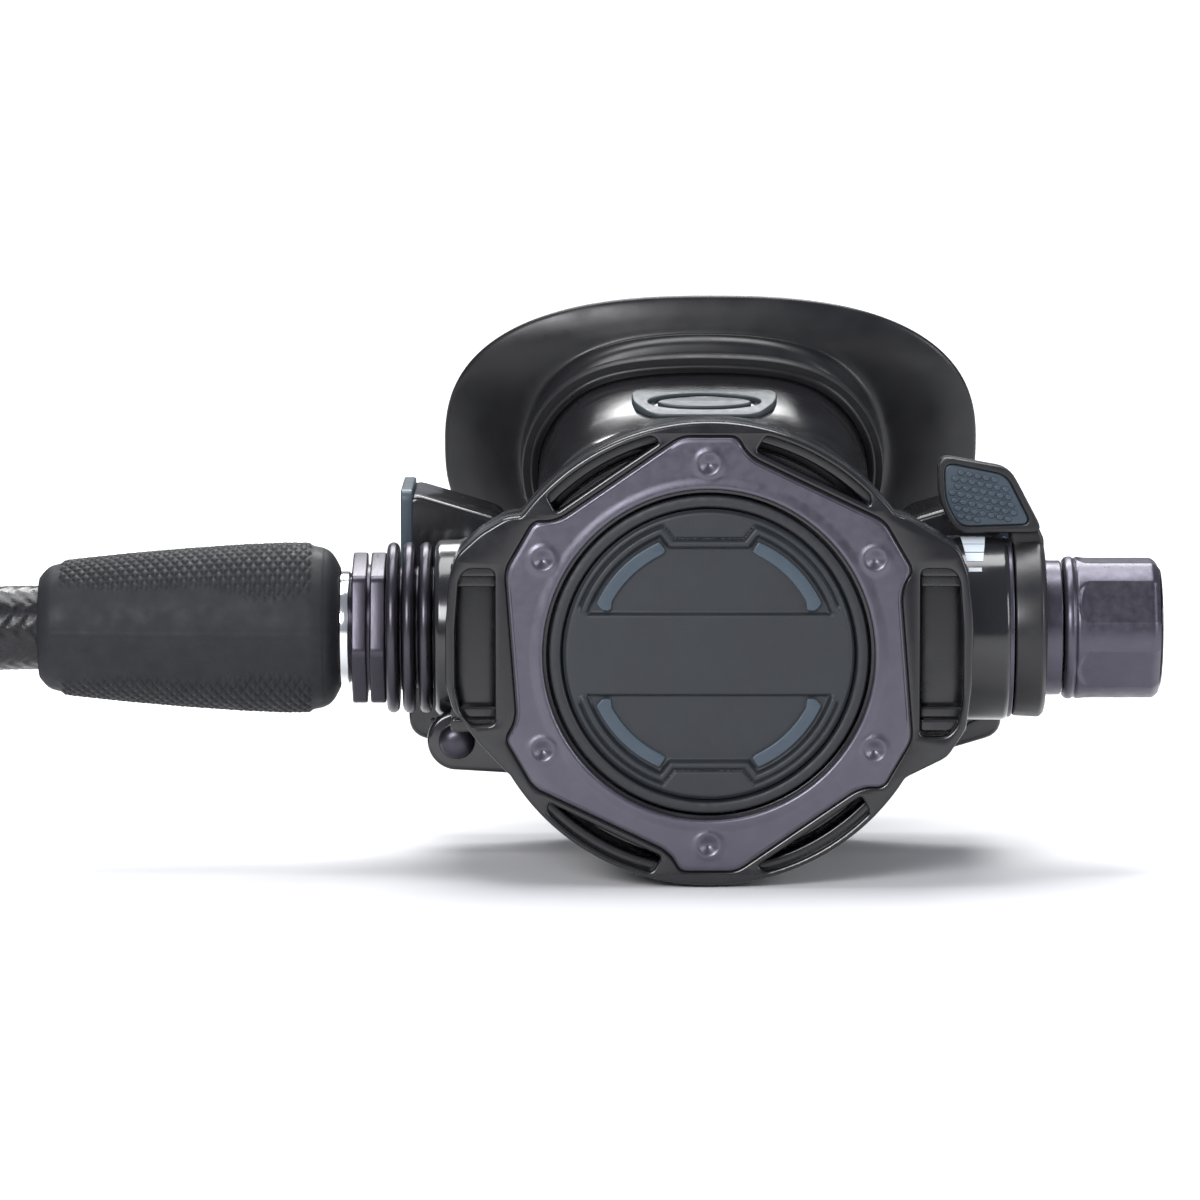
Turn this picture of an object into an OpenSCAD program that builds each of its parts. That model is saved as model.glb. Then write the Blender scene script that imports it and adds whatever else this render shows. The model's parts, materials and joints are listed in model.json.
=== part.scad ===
// Balanced second stage of a scuba regulator with its braided low pressure hose.
// Millimetres. X runs along the valve barrel (the hose leaves towards -X), the cover faces -Y,
// +Z is up, and the regulator stands on its cover's rim and on the foot of its deflector.

/* [Cover and case] */
// Radius of the round front cover
cover_r = 31.5; // [29:0.5:38]
// Depth of the cover from its front face to its open edge
cover_depth = 12; // [12:0.5:16]
// Thickness of the cover's front plate
cover_plate = 2.5; // [2:0.1:3.5]
// Wall between the case's well and its outside
case_wall = 3; // [2.4:0.1:3.6]
// How far the cover's ears reach from its middle
ear_reach = 35.5; // [34:0.5:40]
// Height of the ears
ear_height = 27; // [22:0.5:30]
// Depth of the case's well behind the diaphragm
well_depth = 24; // [23:0.5:28]

/* [Trim ring and purge button] */
// Distance of the trim ring's flats from its middle
trim_flat = 29.4; // [28:0.2:30]
// Thickness of the trim ring
trim_t = 1; // [0.8:0.1:1.4]
// Radius of the purge button
purge_r = 21.6; // [18:0.2:22.4]
// How far the purge button travels
purge_travel = 3; // [2:0.1:3]

/* [Valve] */
// Height of the valve's axis over the cover's middle
valve_rise = 1.5; // [0:0.5:3]
// Outer radius of the valve barrel
barrel_r = 8.5; // [8.3:0.1:8.8]
// Inner radius of the valve barrel
barrel_bore = 7; // [6.8:0.1:7]
// Wall of the case's valve tube and its bore
tube_wall = 4.2; // [3.8:0.1:4.8]
// Radius of the poppet's body
poppet_r = 4; // [3.5:0.1:4.5]
// Bore of the orifice
orifice_bore = 2; // [1.5:0.1:2.4]
// Distance from the demand lever's pivot to its tip
lever_arm = 16; // [14:0.5:17]

/* [Adjusting knob and venturi lever] */
// Radius of the adjusting knob
knob_r = 9.8; // [9.4:0.1:12]
// Length of the adjusting knob
knob_length = 13.5; // [11:0.5:17]
// Number of flats cut in the knob's rim
knob_flats = 6; // [5:1:8]
// Radius of the venturi lever's ring
ring_r = 12.3; // [11.5:0.1:13.5]
// Width of the venturi lever's ring
ring_width = 4.3; // [3.6:0.1:5.5]

/* [Neck, mouthpiece and exhaust] */
// Tilt of the neck above the horizontal
neck_tilt = 20; // [16:1:22]
// Width of the neck
neck_width = 47; // [42:0.5:48]
// Height of the neck across its axis
neck_height = 31; // [28:0.5:32]
// Wall of the neck
neck_wall = 2.4; // [2:0.1:3]
// Width of the mouthpiece's flange
flange_width = 77; // [64:1:80]
// Height of the mouthpiece's flange
flange_height = 47; // [40:1:50]
// Radius of the exhaust valve's flap
flap_r = 9.8; // [8.5:0.1:10]
// Half of the deflector's width
wing_reach = 41.5; // [38:0.5:46]
// Depth of the deflector behind the case
wing_depth = 22; // [18:0.5:24]

/* [Hose] */
// Outer diameter of the hose
hose_d = 11.6; // [10.5:0.1:12.5]
// Length of the rubber protector over the hose's end
protector_length = 41.4; // [34:0.1:49]
// Radius of the first turn of the coil
coil_r = 62; // [60:1:70]

/* [Hidden] */
$fn = 96;

slip = 0.1;      // running fit of a shaft in its hole
gap = 0.3;       // air between pieces that move past each other
eps = 0.01;

// Cover and case, along Y
cover_z = cover_r;
cover_front = -20;
cover_back = cover_front + cover_depth;
plate_back = cover_front + cover_plate;
cover_wall = 2.2;
case_r = cover_r - cover_wall - slip;
well_r = case_r - case_wall;
tube_r = barrel_r + tube_wall;
case_front = -(tube_r + 0.1);
case_back = max(case_front + well_depth, tube_r - 1.5);
back_wall = 2;
shell_back = case_back + back_wall;
ring_bore = cover_r - 7;
ear_lip = 1.2;
window_rim = 1.6;
window_border = 1.2;

// Diaphragm
diaphragm_t = 0.8;
plate_r = 13;
plate_t = 1.2;
plate_front = case_front - 1.4;

// Valve, along X
valve_z = cover_z + valve_rise;
barrel_left = -36;
barrel_right = 39.9;
bore_r = barrel_r + 0.4;
pivot_x = lever_arm;
pivot_y = -(barrel_r + 1.7);
pivot_reach = 4.2;
pin_r = 0.8;
seat_x = -20.8;
collar_x = pivot_x + 0.8;
collar_r = barrel_bore - 0.35;
stem_r = 2;
spring_from = collar_x + 1.6;
adjuster_x = 27;
adjuster_length = 9.2;
plug_length = 5;
boss_end = barrel_right + 1.9;
ring_x = boss_end + 0.2;
hub_end = ring_x + ring_width + 2.3;
hub_r = knob_r - 0.5;
knob_x = hub_end + gap;
fin_r = 11.8;
fin_x = [-38.6, -40.9, -43.1];
fin_t = 1.7;
collar_end = -37.2;
nut_from = -48.7;
nut_to = fin_x[2] - fin_t / 2 - slip;

// Neck and exhaust
neck_from = 5;
neck_z = cover_z + 6.5;
neck_end = 43;
exhaust_z = cover_z - 18;
exhaust_y = shell_back;
seat_r = flap_r + 0.8;
wing_front = shell_back + 0.2;
wing_back = wing_front + wing_depth;
wing_wall = 1.8;

// Hose. The route's points are relative to the protector's end, the coil's to its middle.
protector_from = -50.4;
protector_to = protector_from - protector_length;
hose_low = hose_d / 2;
drop = valve_z - hose_low;
run_length = 80.5;
run_side = 7;
run_fall = 108;
coil_x = protector_to - run_length;
coil_y = coil_r - run_side;
coil_pitch = 12;
coil_turns = 1.2;
coil_inner = coil_r - coil_turns * coil_pitch - hose_d / 2;
coil_outer = coil_r + hose_d / 2;
tail_from = -90 - 360 * coil_turns;
tail_to = tail_from - 95;
tail_inner = coil_r - coil_turns * coil_pitch;
tail_widen = 5;
tail_rise = 14.6;
tail_straight = 9;
tail_turn = tail_to - 90;
function ease(t) = t <= 0 ? 0 : t >= 1 ? 1 : t * t * (3 - 2 * t);
function run_place(s) = let (over = max(s - run_length, 0) / coil_r * 180 / PI) [
    protector_to - min(s, run_length) - coil_r * sin(over),
    s > run_length ? coil_y - coil_r * cos(over) : -run_side * ease(s / run_length),
    hose_low + drop * (1 - ease((s - 4) / (run_fall - 4)))
];
function tail_place(u) = let (a = tail_from + (tail_to - tail_from) * u, r = tail_inner + tail_widen * ease(u)) [
    r * cos(a), r * sin(a), hose_low + tail_rise * ease(u / 0.9)
];
tail_end = tail_place(1) + tail_straight * [cos(tail_turn), sin(tail_turn), 0];
end_hex = 8.3;

// Place of the whole model, so that its origin is under the middle of the object without its hose
model_low_x = protector_to;
model_high_x = knob_x + knob_length;
mouth_back = neck_from + (neck_end + 12.4) * cos(neck_tilt) + 7 * sin(neck_tilt);
model_shift = [-(model_low_x + model_high_x) / 2, -(cover_front - trim_t + mouth_back) / 2, 0];

module placed() { translate(model_shift) children(); }
// A flat shape in the cover's plane, pushed back from y by depth
module facing(y, depth) {
    placed() translate([0, y + depth, cover_z]) rotate([90, 0, 0]) linear_extrude(depth) children();
}
// Round pieces on the valve's axis, local +Z along +X
module on_valve(x) { placed() translate([x, 0, valve_z]) rotate([0, 90, 0]) children(); }
// Round pieces that face the front on the cover's axis, local +Z along +Y
module on_cover(y) { placed() translate([0, y, cover_z]) rotate([-90, 0, 0]) children(); }
// The neck's axis, local +Z along the neck
module on_neck(s) {
    placed() translate([0, neck_from, neck_z]) rotate([neck_tilt - 90, 0, 0])
        translate([0, 0, s]) children();
}
module tube(r, inner, length) {
    difference() {
        cylinder(r = r, h = length);
        translate([0, 0, -1]) cylinder(r = inner, h = length + 2);
    }
}
module ring(r, wire) { rotate_extrude() translate([r, 0]) circle(r = wire, $fn = 24); }
module oval(width, height) {
    square([width - height, height], center = true);
    for (side = [-1, 1]) translate([side * (width - height) / 2, 0]) circle(d = height);
}
module oval_tube(width, height, wall, length) {
    linear_extrude(length) difference() {
        oval(width, height);
        oval(width - 2 * wall, height - 2 * wall);
    }
}

// A closed tube of the given radius along points
function unit(v) = v / norm(v);
function tangent(p, i) = unit(p[min(i + 1, len(p) - 1)] - p[max(i - 1, 0)]);
function sweep_ring(p, i, r, sides) = let (
    t = tangent(p, i),
    side = unit(cross([0, 0, 1], t)),
    up = cross(t, side)
) [for (k = [0 : sides - 1]) p[i] + r * (cos(360 * k / sides) * side + sin(360 * k / sides) * up)];
module sweep(p, r, sides) {
    n = len(p);
    points = [for (i = [0 : n - 1]) each sweep_ring(p, i, r, sides)];
    walls = [for (i = [0 : n - 2], k = [0 : sides - 1]) let (a = i * sides + k, b = i * sides + (k + 1) % sides)
        each [[a, b + sides, b], [a, a + sides, b + sides]]];
    ends = [[for (k = [0 : sides - 1]) k], [for (k = [sides - 1 : -1 : 0]) (n - 1) * sides + k]];
    polyhedron(points, concat(walls, ends));
}
function helix(r, from, to, turns, steps) = [for (i = [0 : turns * steps])
    let (a = 360 * i / steps) [r * cos(a), r * sin(a), from + (to - from) * i / (turns * steps)]];
// A coil spring on the local Z axis, between two heights
module spring(r, wire, from, to, turns) {
    p = helix(r, from + wire, to - wire, turns, 14);
    n = len(p);
    sides = 6;
    points = [for (i = [0 : n - 1], k = [0 : sides - 1])
        let (a = atan2(p[i][1], p[i][0]), b = 360 * k / sides)
        [(r + wire * cos(b)) * cos(a), (r + wire * cos(b)) * sin(a), p[i][2] + wire * sin(b)]];
    walls = [for (i = [0 : n - 2], k = [0 : sides - 1]) let (a = i * sides + k, b = i * sides + (k + 1) % sides)
        each [[a, b, b + sides], [a, b + sides, a + sides]]];
    ends = [[for (k = [sides - 1 : -1 : 0]) k], [for (k = [0 : sides - 1]) (n - 1) * sides + k]];
    polyhedron(points, concat(walls, ends));
}

// The trim ring's outline: six flats, each followed clockwise by a notch
flat_half = 7.3;
notch_at = 12.6;
notch_r = trim_flat - 2.4;
function polar(r, a) = [r * cos(a), r * sin(a)];
module trim_outline(grow) {
    corner = (trim_flat + grow) / cos(flat_half);
    polygon([for (k = [0 : 5]) let (a = 90 - 60 * k)
        each [polar(corner, a + flat_half), polar(corner, a - flat_half),
            polar(notch_r + grow, a - notch_at)]]);
}
module ear(side) {
    half = ear_height / 2;
    low = side > 0 ? 0 : 4;
    points = [[27 - ear_reach, half + 5.2], [-5, half + 2.9], [-1.8, half], [-0.8, half - 3], [0, 3],
        [0, low - half + 5], [-1, low - half + 2], [-3.8, low - half - 1.5], [27 - ear_reach, -half - 2.4]];
    polygon([for (p = points) [side * (ear_reach + p[0]), p[1]]]);
}
module cover_outline() {
    circle(r = cover_r);
    for (side = [-1, 1]) ear(side);
}
module side_window(side) {
    half = ear_height / 2 - 2;
    inner = side * (notch_r + window_border + 0.6);
    outer = side * (ear_reach - ear_lip);
    polygon([[inner, half], [outer - side, half], [outer, half - 1.5],
        [outer, 1.5 - half], [outer - side, -half], [inner, -half]]);
}
module rim_window(a) {
    intersection() {
        difference() {
            circle(r = cover_r - window_rim);
            trim_outline(window_border);
        }
        polygon([[0, 0], polar(60, a - 20), polar(60, a + 20)]);
    }
}

module front_cover() {
    color("#1c1d20") difference() {
        union() {
            facing(cover_front, cover_depth) cover_outline();
            facing(cover_back - eps, 1) circle(r = cover_r - 0.6);
        }
        facing(cover_front - 1, cover_plate + 2) circle(r = purge_r + gap);
        facing(plate_back, case_front - plate_back) circle(r = cover_r - cover_wall - 1);
        facing(case_front - eps, 20) circle(r = cover_r - cover_wall);
        facing(cover_front - 1, cover_plate + 2) {
            for (a = [60, 120, 240, 300]) rim_window(a);
            for (side = [-1, 1]) side_window(side);
        }
        on_valve(-60) cylinder(r = tube_r + 0.25, h = 120);
    }
}

module trim_ring() {
    color("#5f5c6b") difference() {
        facing(cover_front - trim_t, trim_t) trim_outline(0);
        facing(cover_front - trim_t - 1, trim_t + 2) circle(r = purge_r + gap + 0.6);
        for (k = [0 : 5]) let (at = polar(26.3, 90 + 60 * k))
            placed() translate([at[0], cover_front - trim_t - 0.9, cover_z + at[1]]) sphere(r = 1.5, $fn = 32);
    }
}

// Purge button: a ring with a flange behind the cover and a boss over the diaphragm's plate
face_r = purge_r - 1.8;
face_depth = 1.2;
bar_half = 5.35;
boss_r = 5;
module purge_button() {
    back = plate_back + 0.2;
    color("#232629") {
        difference() {
            union() {
                on_cover(cover_front - 0.4) cylinder(r = purge_r, h = back + 1 - cover_front + 0.4);
                on_cover(back) cylinder(r = ring_bore - 0.8, h = 1);
            }
            on_cover(cover_front - 1) cylinder(r = face_r + slip, h = face_depth + 1 - 0.2);
            on_cover(cover_front + face_depth + 1) cylinder(r = face_r - 1, h = 10);
        }
        on_cover(cover_front + face_depth) cylinder(r = boss_r, h = plate_front - 0.2 - cover_front - face_depth);
    }
}
module face_recess(up) {
    intersection() {
        circle(r = face_r - 2.2);
        polygon([for (p = [[-20, bar_half], [20, bar_half], [20, 12], [9, 14.2], [6, 12.6],
            [-6, 12.6], [-9, 14.2], [-20, 12]]) [p[0], up * p[1]]]);
    }
}
module purge_face() {
    color("#282e34") difference() {
        on_cover(cover_front - 0.6) cylinder(r = face_r, h = face_depth + 0.3);
        for (up = [-1, 1]) facing(cover_front - 1, 0.7) face_recess(up);
        for (k = [0 : 3]) accent(k, 0.02);
    }
}
accent_in = 14.9;
accent_out = 16.7;
module accent(k, grow) {
    on_cover(cover_front - 0.3) rotate([0, 0, 90 * k + (k % 2 == 0 ? 27 : 25) - grow])
        rotate_extrude(angle = 38 + 2 * grow) translate([accent_in - grow, 0])
            square([accent_out - accent_in + 2 * grow, 0.6]);
}
module purge_accents() {
    color("#42505a") for (k = [0 : 3]) accent(k, 0);
}
module purge_spring() {
    color("silver") on_cover(0)
        spring(9.5, 0.35, cover_front + face_depth + 1.1 + 0.1, plate_front - 0.2, 2);
}

module diaphragm() {
    color("#3a3c40") difference() {
        on_cover(case_front - diaphragm_t) cylinder(r = case_r - 1, h = diaphragm_t);
        on_cover(case_front - 2) cylinder(r = plate_r - 1, h = 4);
    }
}
module diaphragm_plate() {
    color("#8a8f94") difference() {
        on_cover(plate_front) cylinder(r = plate_r, h = plate_t);
        on_cover(case_front - diaphragm_t) tube(plate_r + 1, plate_r - 1.1, diaphragm_t);
    }
}
module diaphragm_ring() {
    color("#c9c9c4") on_cover(plate_back + 0.1)
        tube(case_r - 1, ring_bore, case_front - diaphragm_t - plate_back - 0.1);
}

// The lug of the cover's lock pin, local +Z along +Y
lug_r = 3;
lug_drop = max(13.4, tube_r + 0.7);
lug_y = cover_back + 1.3;
lug_pin = 1.5;
lug_x = -(cover_r + 2.8);
module on_lug(y) { placed() translate([lug_x, y, cover_z - lug_drop]) rotate([-90, 0, 0]) children(); }
module case_body() {
    color("#17181b") difference() {
        union() {
            on_cover(case_front) cylinder(r = case_r, h = shell_back - case_front);
            on_valve(barrel_left) cylinder(r = tube_r, h = barrel_right - barrel_left);
            intersection() {
                on_neck(0) linear_extrude(neck_end) oval(neck_width, neck_height);
                placed() translate([-50, case_back, 0]) cube([100, 60, 100]);
            }
            on_lug(lug_y) {
                cylinder(r = lug_r, h = 10);
                translate([0, -lug_r, 0]) cube([12, 2 * lug_r, 10]);
            }
        }
        on_cover(case_front - 1) cylinder(r = well_r, h = well_depth + 1);
        on_neck(0) linear_extrude(neck_end + 1) oval(neck_width - 2 * neck_wall, neck_height - 2 * neck_wall);
        on_valve(-60) cylinder(r = bore_r, h = 120);
        placed() translate([0, case_back - 1, exhaust_z]) rotate([-90, 0, 0]) cylinder(r = seat_r, h = back_wall + 2);
        on_lug(lug_y - 1) cylinder(r = lug_pin + 0.02, h = 8);
        badge_place() linear_extrude(3) oval(21, 9.4);
        placed() translate([-vane_half, vane_y, vane_z]) rotate([0, 90, 0]) cylinder(r = vane_pin + slip, h = 2 * vane_half);
    }
}
badge_s = 27.4;
module badge_place() {
    on_neck(badge_s) translate([0, -neck_height / 2 + 0.7, 0]) rotate([90, 0, 0]) children();
}
module top_badge() {
    color("#5f6e73") badge_place() {
        linear_extrude(0.8) oval(20.6, 9);
        translate([0, 0, 0.8]) linear_extrude(0.4) difference() {
            oval(17, 5.6);
            oval(15.4, 4);
        }
    }
}
module cover_lock_pin() {
    color("#3c3a45") {
        on_lug(lug_y) cylinder(r = lug_pin, h = 7);
        intersection() {
            on_lug(lug_y + 1) sphere(r = 2.9);
            on_lug(lug_y - 3) cylinder(r = 2.5, h = 3);
        }
    }
}

module valve_barrel() {
    color("#b9bcc0") {
        difference() {
            union() {
                on_valve(barrel_left) cylinder(r = barrel_r, h = barrel_right - barrel_left);
                placed() translate([pivot_x - 1.5, pivot_y - 1.2, valve_z - 4.8]) cube([3, 4, 9.6]);
            }
            on_valve(barrel_left - 1) cylinder(r = barrel_bore, h = 90);
            placed() translate([pivot_x - 4, -barrel_r - 3, valve_z - 3.2]) cube([8, 6.5, 6.4]);
            placed() translate([-12, 2, valve_z - 4]) cube([20, 10, 8]);
            placed() translate([pivot_x, pivot_y, valve_z - 10]) cylinder(r = pin_r, h = 20);
            for (x = [-33, 31]) on_valve(x - 0.85) tube(barrel_r + 1, barrel_r - 0.8, 1.7);
        }
    }
}
module barrel_orings() {
    color("#202022") for (x = [-33, 31]) on_valve(x) ring(barrel_r - 0.17, 0.55);
}
module barrel_nut() {
    color("#26262b") on_valve(barrel_right) difference() {
        union() {
            cylinder(r = tube_r - 0.3, h = boss_end - barrel_right);
            cylinder(r = hub_r, h = hub_end - barrel_right);
        }
        translate([0, 0, -1]) cylinder(r = barrel_bore, h = 30);
    }
}
module lever_pin() {
    color("silver") placed() translate([pivot_x, pivot_y, valve_z - 4.8]) cylinder(r = pin_r, h = 9.6);
}
module lever() {
    tip_y = plate_front + plate_t + 0.1;
    color("#c8c8c8") placed() translate([0, 0, valve_z - 2.9]) linear_extrude(5.8) difference() {
        union() {
            translate([pivot_x, pivot_y]) circle(r = 1.3);
            polygon([[pivot_x, pivot_y + 0.9], [pivot_x - 3, pivot_y + 0.7], [pivot_x - 8, pivot_y - 0.2],
                [pivot_x - 13, pivot_y - 1], [0.5, tip_y + 0.75], [-1, tip_y + 0.75], [-1, tip_y], [0, tip_y],
                [pivot_x - 13, pivot_y - 1.9], [pivot_x - 8, pivot_y - 1.1], [pivot_x - 3, pivot_y - 0.3],
                [pivot_x, pivot_y - 0.7]]);
            translate([pivot_x - 0.6, pivot_y]) square([1.2, pivot_reach]);
        }
        translate([pivot_x, pivot_y]) circle(r = pin_r + slip);
    }
}

module inlet_fitting() {
    color("#3b3946") difference() {
        union() {
            for (x = fin_x) on_valve(x - fin_t / 2) cylinder(r = fin_r, h = fin_t);
            on_valve(nut_from + 1) cylinder(r = 6, h = collar_end - nut_from - 1);
            on_valve(fin_x[2]) cylinder(r = 9, h = collar_end - fin_x[2]);
            on_valve(collar_end - 0.6) cylinder(r = fin_r + 0.1, h = 1.1);
            on_valve(collar_end) cylinder(r = barrel_bore - 0.05, h = 7);
        }
        on_valve(nut_from) cylinder(r = 3, h = 30);
    }
}
orifice_x = -30;
module orifice() {
    color("#c9b26a") difference() {
        union() {
            on_valve(orifice_x) cylinder(r = barrel_bore - 0.05, h = 5);
            on_valve(orifice_x + 5) cylinder(r = 4.4, h = 2.4);
            on_valve(orifice_x + 7.4) cylinder(r = orifice_bore + 0.6, h = 1.6);
        }
        on_valve(orifice_x - 1) cylinder(r = orifice_bore, h = 12);
        on_valve(orifice_x + 1.6) tube(barrel_bore + 1, barrel_bore - 1, 1.6);
    }
}
module orifice_oring() { color("#202022") on_valve(orifice_x + 2.4) ring(barrel_bore - 0.5, 0.46); }
module poppet_seat() {
    color("#3a3a3a") on_valve(seat_x) cylinder(r = poppet_r - 0.6, h = 1.6);
}
module poppet() {
    color("#d0d0cc") difference() {
        union() {
            on_valve(seat_x + 0.4) cylinder(r = poppet_r, h = collar_x - seat_x - 0.4 + 0.5);
            on_valve(collar_x) cylinder(r = collar_r, h = 1.5);
            on_valve(collar_x) cylinder(r = stem_r, h = adjuster_x + 3.4 - collar_x);
        }
        on_valve(seat_x) cylinder(r = poppet_r - 0.6, h = 1.6);
        on_valve(seat_x + 1) cylinder(r = 0.8, h = adjuster_x + 10 - seat_x);
    }
}
module poppet_spring() {
    color("silver") on_valve(0) spring(4.4, 0.4, spring_from, adjuster_x - 0.05, 5);
}
plug_r = 5.4;
module balance_plug() {
    color("#c9b26a") difference() {
        on_valve(adjuster_x) cylinder(r = plug_r, h = plug_length);
        on_valve(adjuster_x - 1) cylinder(r = stem_r + slip, h = plug_length + 0.4);
        on_valve(adjuster_x + 1.2) cylinder(r = stem_r + 0.9, h = 1.2);
    }
}
module balance_oring() { color("#202022") on_valve(adjuster_x + 1.8) ring(stem_r + 0.5, 0.35); }
shaft_r = 2.6;
shaft_from = adjuster_x + plug_length + 2.3;
module spring_adjuster() {
    color("#a9adb2") difference() {
        on_valve(adjuster_x) cylinder(r = barrel_bore - slip, h = adjuster_length);
        on_valve(adjuster_x - 1) cylinder(r = plug_r, h = plug_length + 1);
        on_valve(adjuster_x + 2) cylinder(r = shaft_r + slip, h = 12);
        on_valve(adjuster_x + 4.2) tube(barrel_bore + 1, barrel_bore - 0.9, 1.5);
    }
}
module adjuster_oring() { color("#202022") on_valve(adjuster_x + 4.95) ring(barrel_bore - 0.52, 0.36); }

knob_bore = 5.2;
module knob_shaft() {
    color("#b9bcc0") difference() {
        union() {
            on_valve(shaft_from) cylinder(r = shaft_r, h = knob_x + 5 - shaft_from);
            on_valve(boss_end + 0.4) cylinder(r = 4.4, h = 2);
        }
        on_valve(knob_x) cylinder(r = 1.2, h = 10);
    }
}
// A sleeve with a groove inside that holds the shaft's flange
module knob_retainer() {
    color("#8a8d92") difference() {
        on_valve(boss_end - 1.8) tube(barrel_bore - 0.02, shaft_r + 0.2, 6.9);
        on_valve(boss_end + 0.15) cylinder(r = 4.7, h = 2.5);
    }
}
module knob() {
    color("#5f5c6b") difference() {
        union() {
            on_valve(knob_x) cylinder(r = knob_r, h = knob_length - 1.2);
            on_valve(knob_x + knob_length - 1.2) cylinder(r1 = knob_r, r2 = knob_r - 1, h = 1);
        }
        on_valve(knob_x - 1) cylinder(r = shaft_r, h = 6);
        on_valve(knob_x + 5) cylinder(r = knob_bore, h = knob_length);
        on_valve(knob_x) cylinder(r = 1.3, h = 10);
        for (k = [0 : knob_flats - 1]) on_valve(knob_x + 2) rotate([0, 0, k * 360 / knob_flats + 2])
            translate([knob_r - 0.46, -knob_r, 0]) cube([3, 2 * knob_r, knob_length]);
    }
}
module knob_cap() {
    color("#1c1d20") on_valve(knob_x + knob_length - 2.4) {
        cylinder(r = knob_bore, h = 2.2);
        translate([0, 0, 2.2]) cylinder(r = knob_r - 1.4, h = 0.2);
    }
}
module knob_screw() {
    color("silver") on_valve(knob_x + 1) {
        cylinder(r = 1.15, h = 5);
        translate([0, 0, 4]) cylinder(r = 2.6, h = 2);
    }
}

// Venturi lever: a ring on the barrel nut's hub with an arm up to a thumb pad
pad_inner = [[-9.5, 10.3], [-1, 8.6], [2.5, 1.8], [-7.4, 1.5], [-9.3, 5.1]];
pad_outer = [[-10.4, 11.3], [-0.4, 9.5], [ring_width, 0.6], [-8, 0.6], [-10.2, 4.9]];
pad_front = -2;
module on_pad(y) {
    placed() translate([ring_x, y, valve_z + tube_r]) rotate([90, 0, 0]) children();
}
module venturi_lever() {
    color("#222327") difference() {
        union() {
            on_valve(ring_x) cylinder(r = ring_r, h = ring_width - 0.5);
            on_valve(ring_x + ring_width - 0.5) cylinder(r1 = ring_r, r2 = ring_r - 0.5, h = 0.5);
            placed() translate([ring_x, pad_front, valve_z + hub_r]) cube([ring_width, 6, tube_r - hub_r + 2]);
            on_pad(pad_front + 4) linear_extrude(4) polygon(pad_outer);
        }
        on_valve(ring_x - 1) cylinder(r = hub_r + slip, h = ring_width + 2);
    }
}
module venturi_pad() {
    color("#3e5262") on_pad(pad_front) linear_extrude(0.9) polygon(pad_inner);
}
module venturi_scale() {
    color("#cdd7de") for (k = [0 : 3]) let (width = 3.3 - 0.5 * k)
        on_valve(ring_x - 5.5 - width / 2) rotate([0, 0, 188 + [0, 10, 20, 34][k]])
            rotate_extrude(angle = k == 3 ? 3.5 : 9) translate([tube_r + eps, 0]) square([0.15, width]);
}
vane_y = 17;
vane_z = neck_z + 12;
vane_pin = 1.1;
vane_half = neck_width / 2 - 3.4;
vane_width = 24;
module venturi_vane() {
    color("#3a3d42") placed() translate([0, vane_y, vane_z]) {
        translate([slip - vane_half, 0, 0]) rotate([0, 90, 0]) cylinder(r = vane_pin, h = 2 * (vane_half - slip));
        translate([-vane_width / 2, 0, -0.5]) cube([vane_width, 9, 1]);
    }
}

// Mouthpiece, along the neck
collar_t = 2.2;
mouth_s = neck_end - 7;
flange_s = neck_end + 0.4;
flange_t = 2.6;
bite_gap = 12;
module mouthpiece() {
    color("#141416") difference() {
        union() {
            on_neck(mouth_s) linear_extrude(8) oval(neck_width + 0.2 + 2 * collar_t, neck_height + 0.2 + 2 * collar_t);
            on_neck(flange_s) linear_extrude(flange_t) oval(flange_width, flange_height);
            on_neck(flange_s) linear_extrude(6) oval(40, 20);
            for (side = [-1, 1]) on_neck(flange_s + 5) translate([side * 16, 0, 0]) {
                translate([-5, -bite_gap / 2 - 1, 0]) cube([10, 2, 7]);
                translate([-5, bite_gap / 2 - 1, 0]) cube([10, 2, 7]);
                translate([side * 3 - 2, -bite_gap / 2, 0]) cube([4, bite_gap, 3]);
            }
        }
        on_neck(mouth_s - 1) linear_extrude(8) oval(neck_width + 0.2, neck_height + 0.2);
        on_neck(mouth_s) linear_extrude(30) oval(30, 12);
    }
}
module mouthpiece_clamp() {
    color("#2a2a2c") on_neck(mouth_s + 2) linear_extrude(2.6) difference() {
        oval(neck_width + 2.4 * collar_t + 2.4, neck_height + 2.4 * collar_t + 2.4);
        oval(neck_width + 0.24 + 2 * collar_t, neck_height + 0.24 + 2 * collar_t);
    }
}

// Exhaust
module on_exhaust(y) { placed() translate([0, exhaust_y + y, exhaust_z]) rotate([-90, 0, 0]) children(); }
module exhaust_seat() {
    color("#2b2d31") on_exhaust(-back_wall) {
        tube(seat_r - 0.02, seat_r - 2, back_wall);
        difference() {
            union() {
                cylinder(r = 2.4, h = back_wall);
                for (k = [0 : 2]) rotate([0, 0, 120 * k + 90]) translate([1.8, -0.6, 0])
                    cube([seat_r - 3.3, 1.2, back_wall]);
            }
            translate([0, 0, -1]) cylinder(r = 1.1, h = back_wall + 2);
        }
    }
}
module exhaust_valve() {
    color("#4a4c50") {
        on_exhaust(0.05) cylinder(r = flap_r, h = 0.7);
        on_exhaust(-back_wall - 2) cylinder(r = 1, h = back_wall + 2.2);
    }
}
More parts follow.
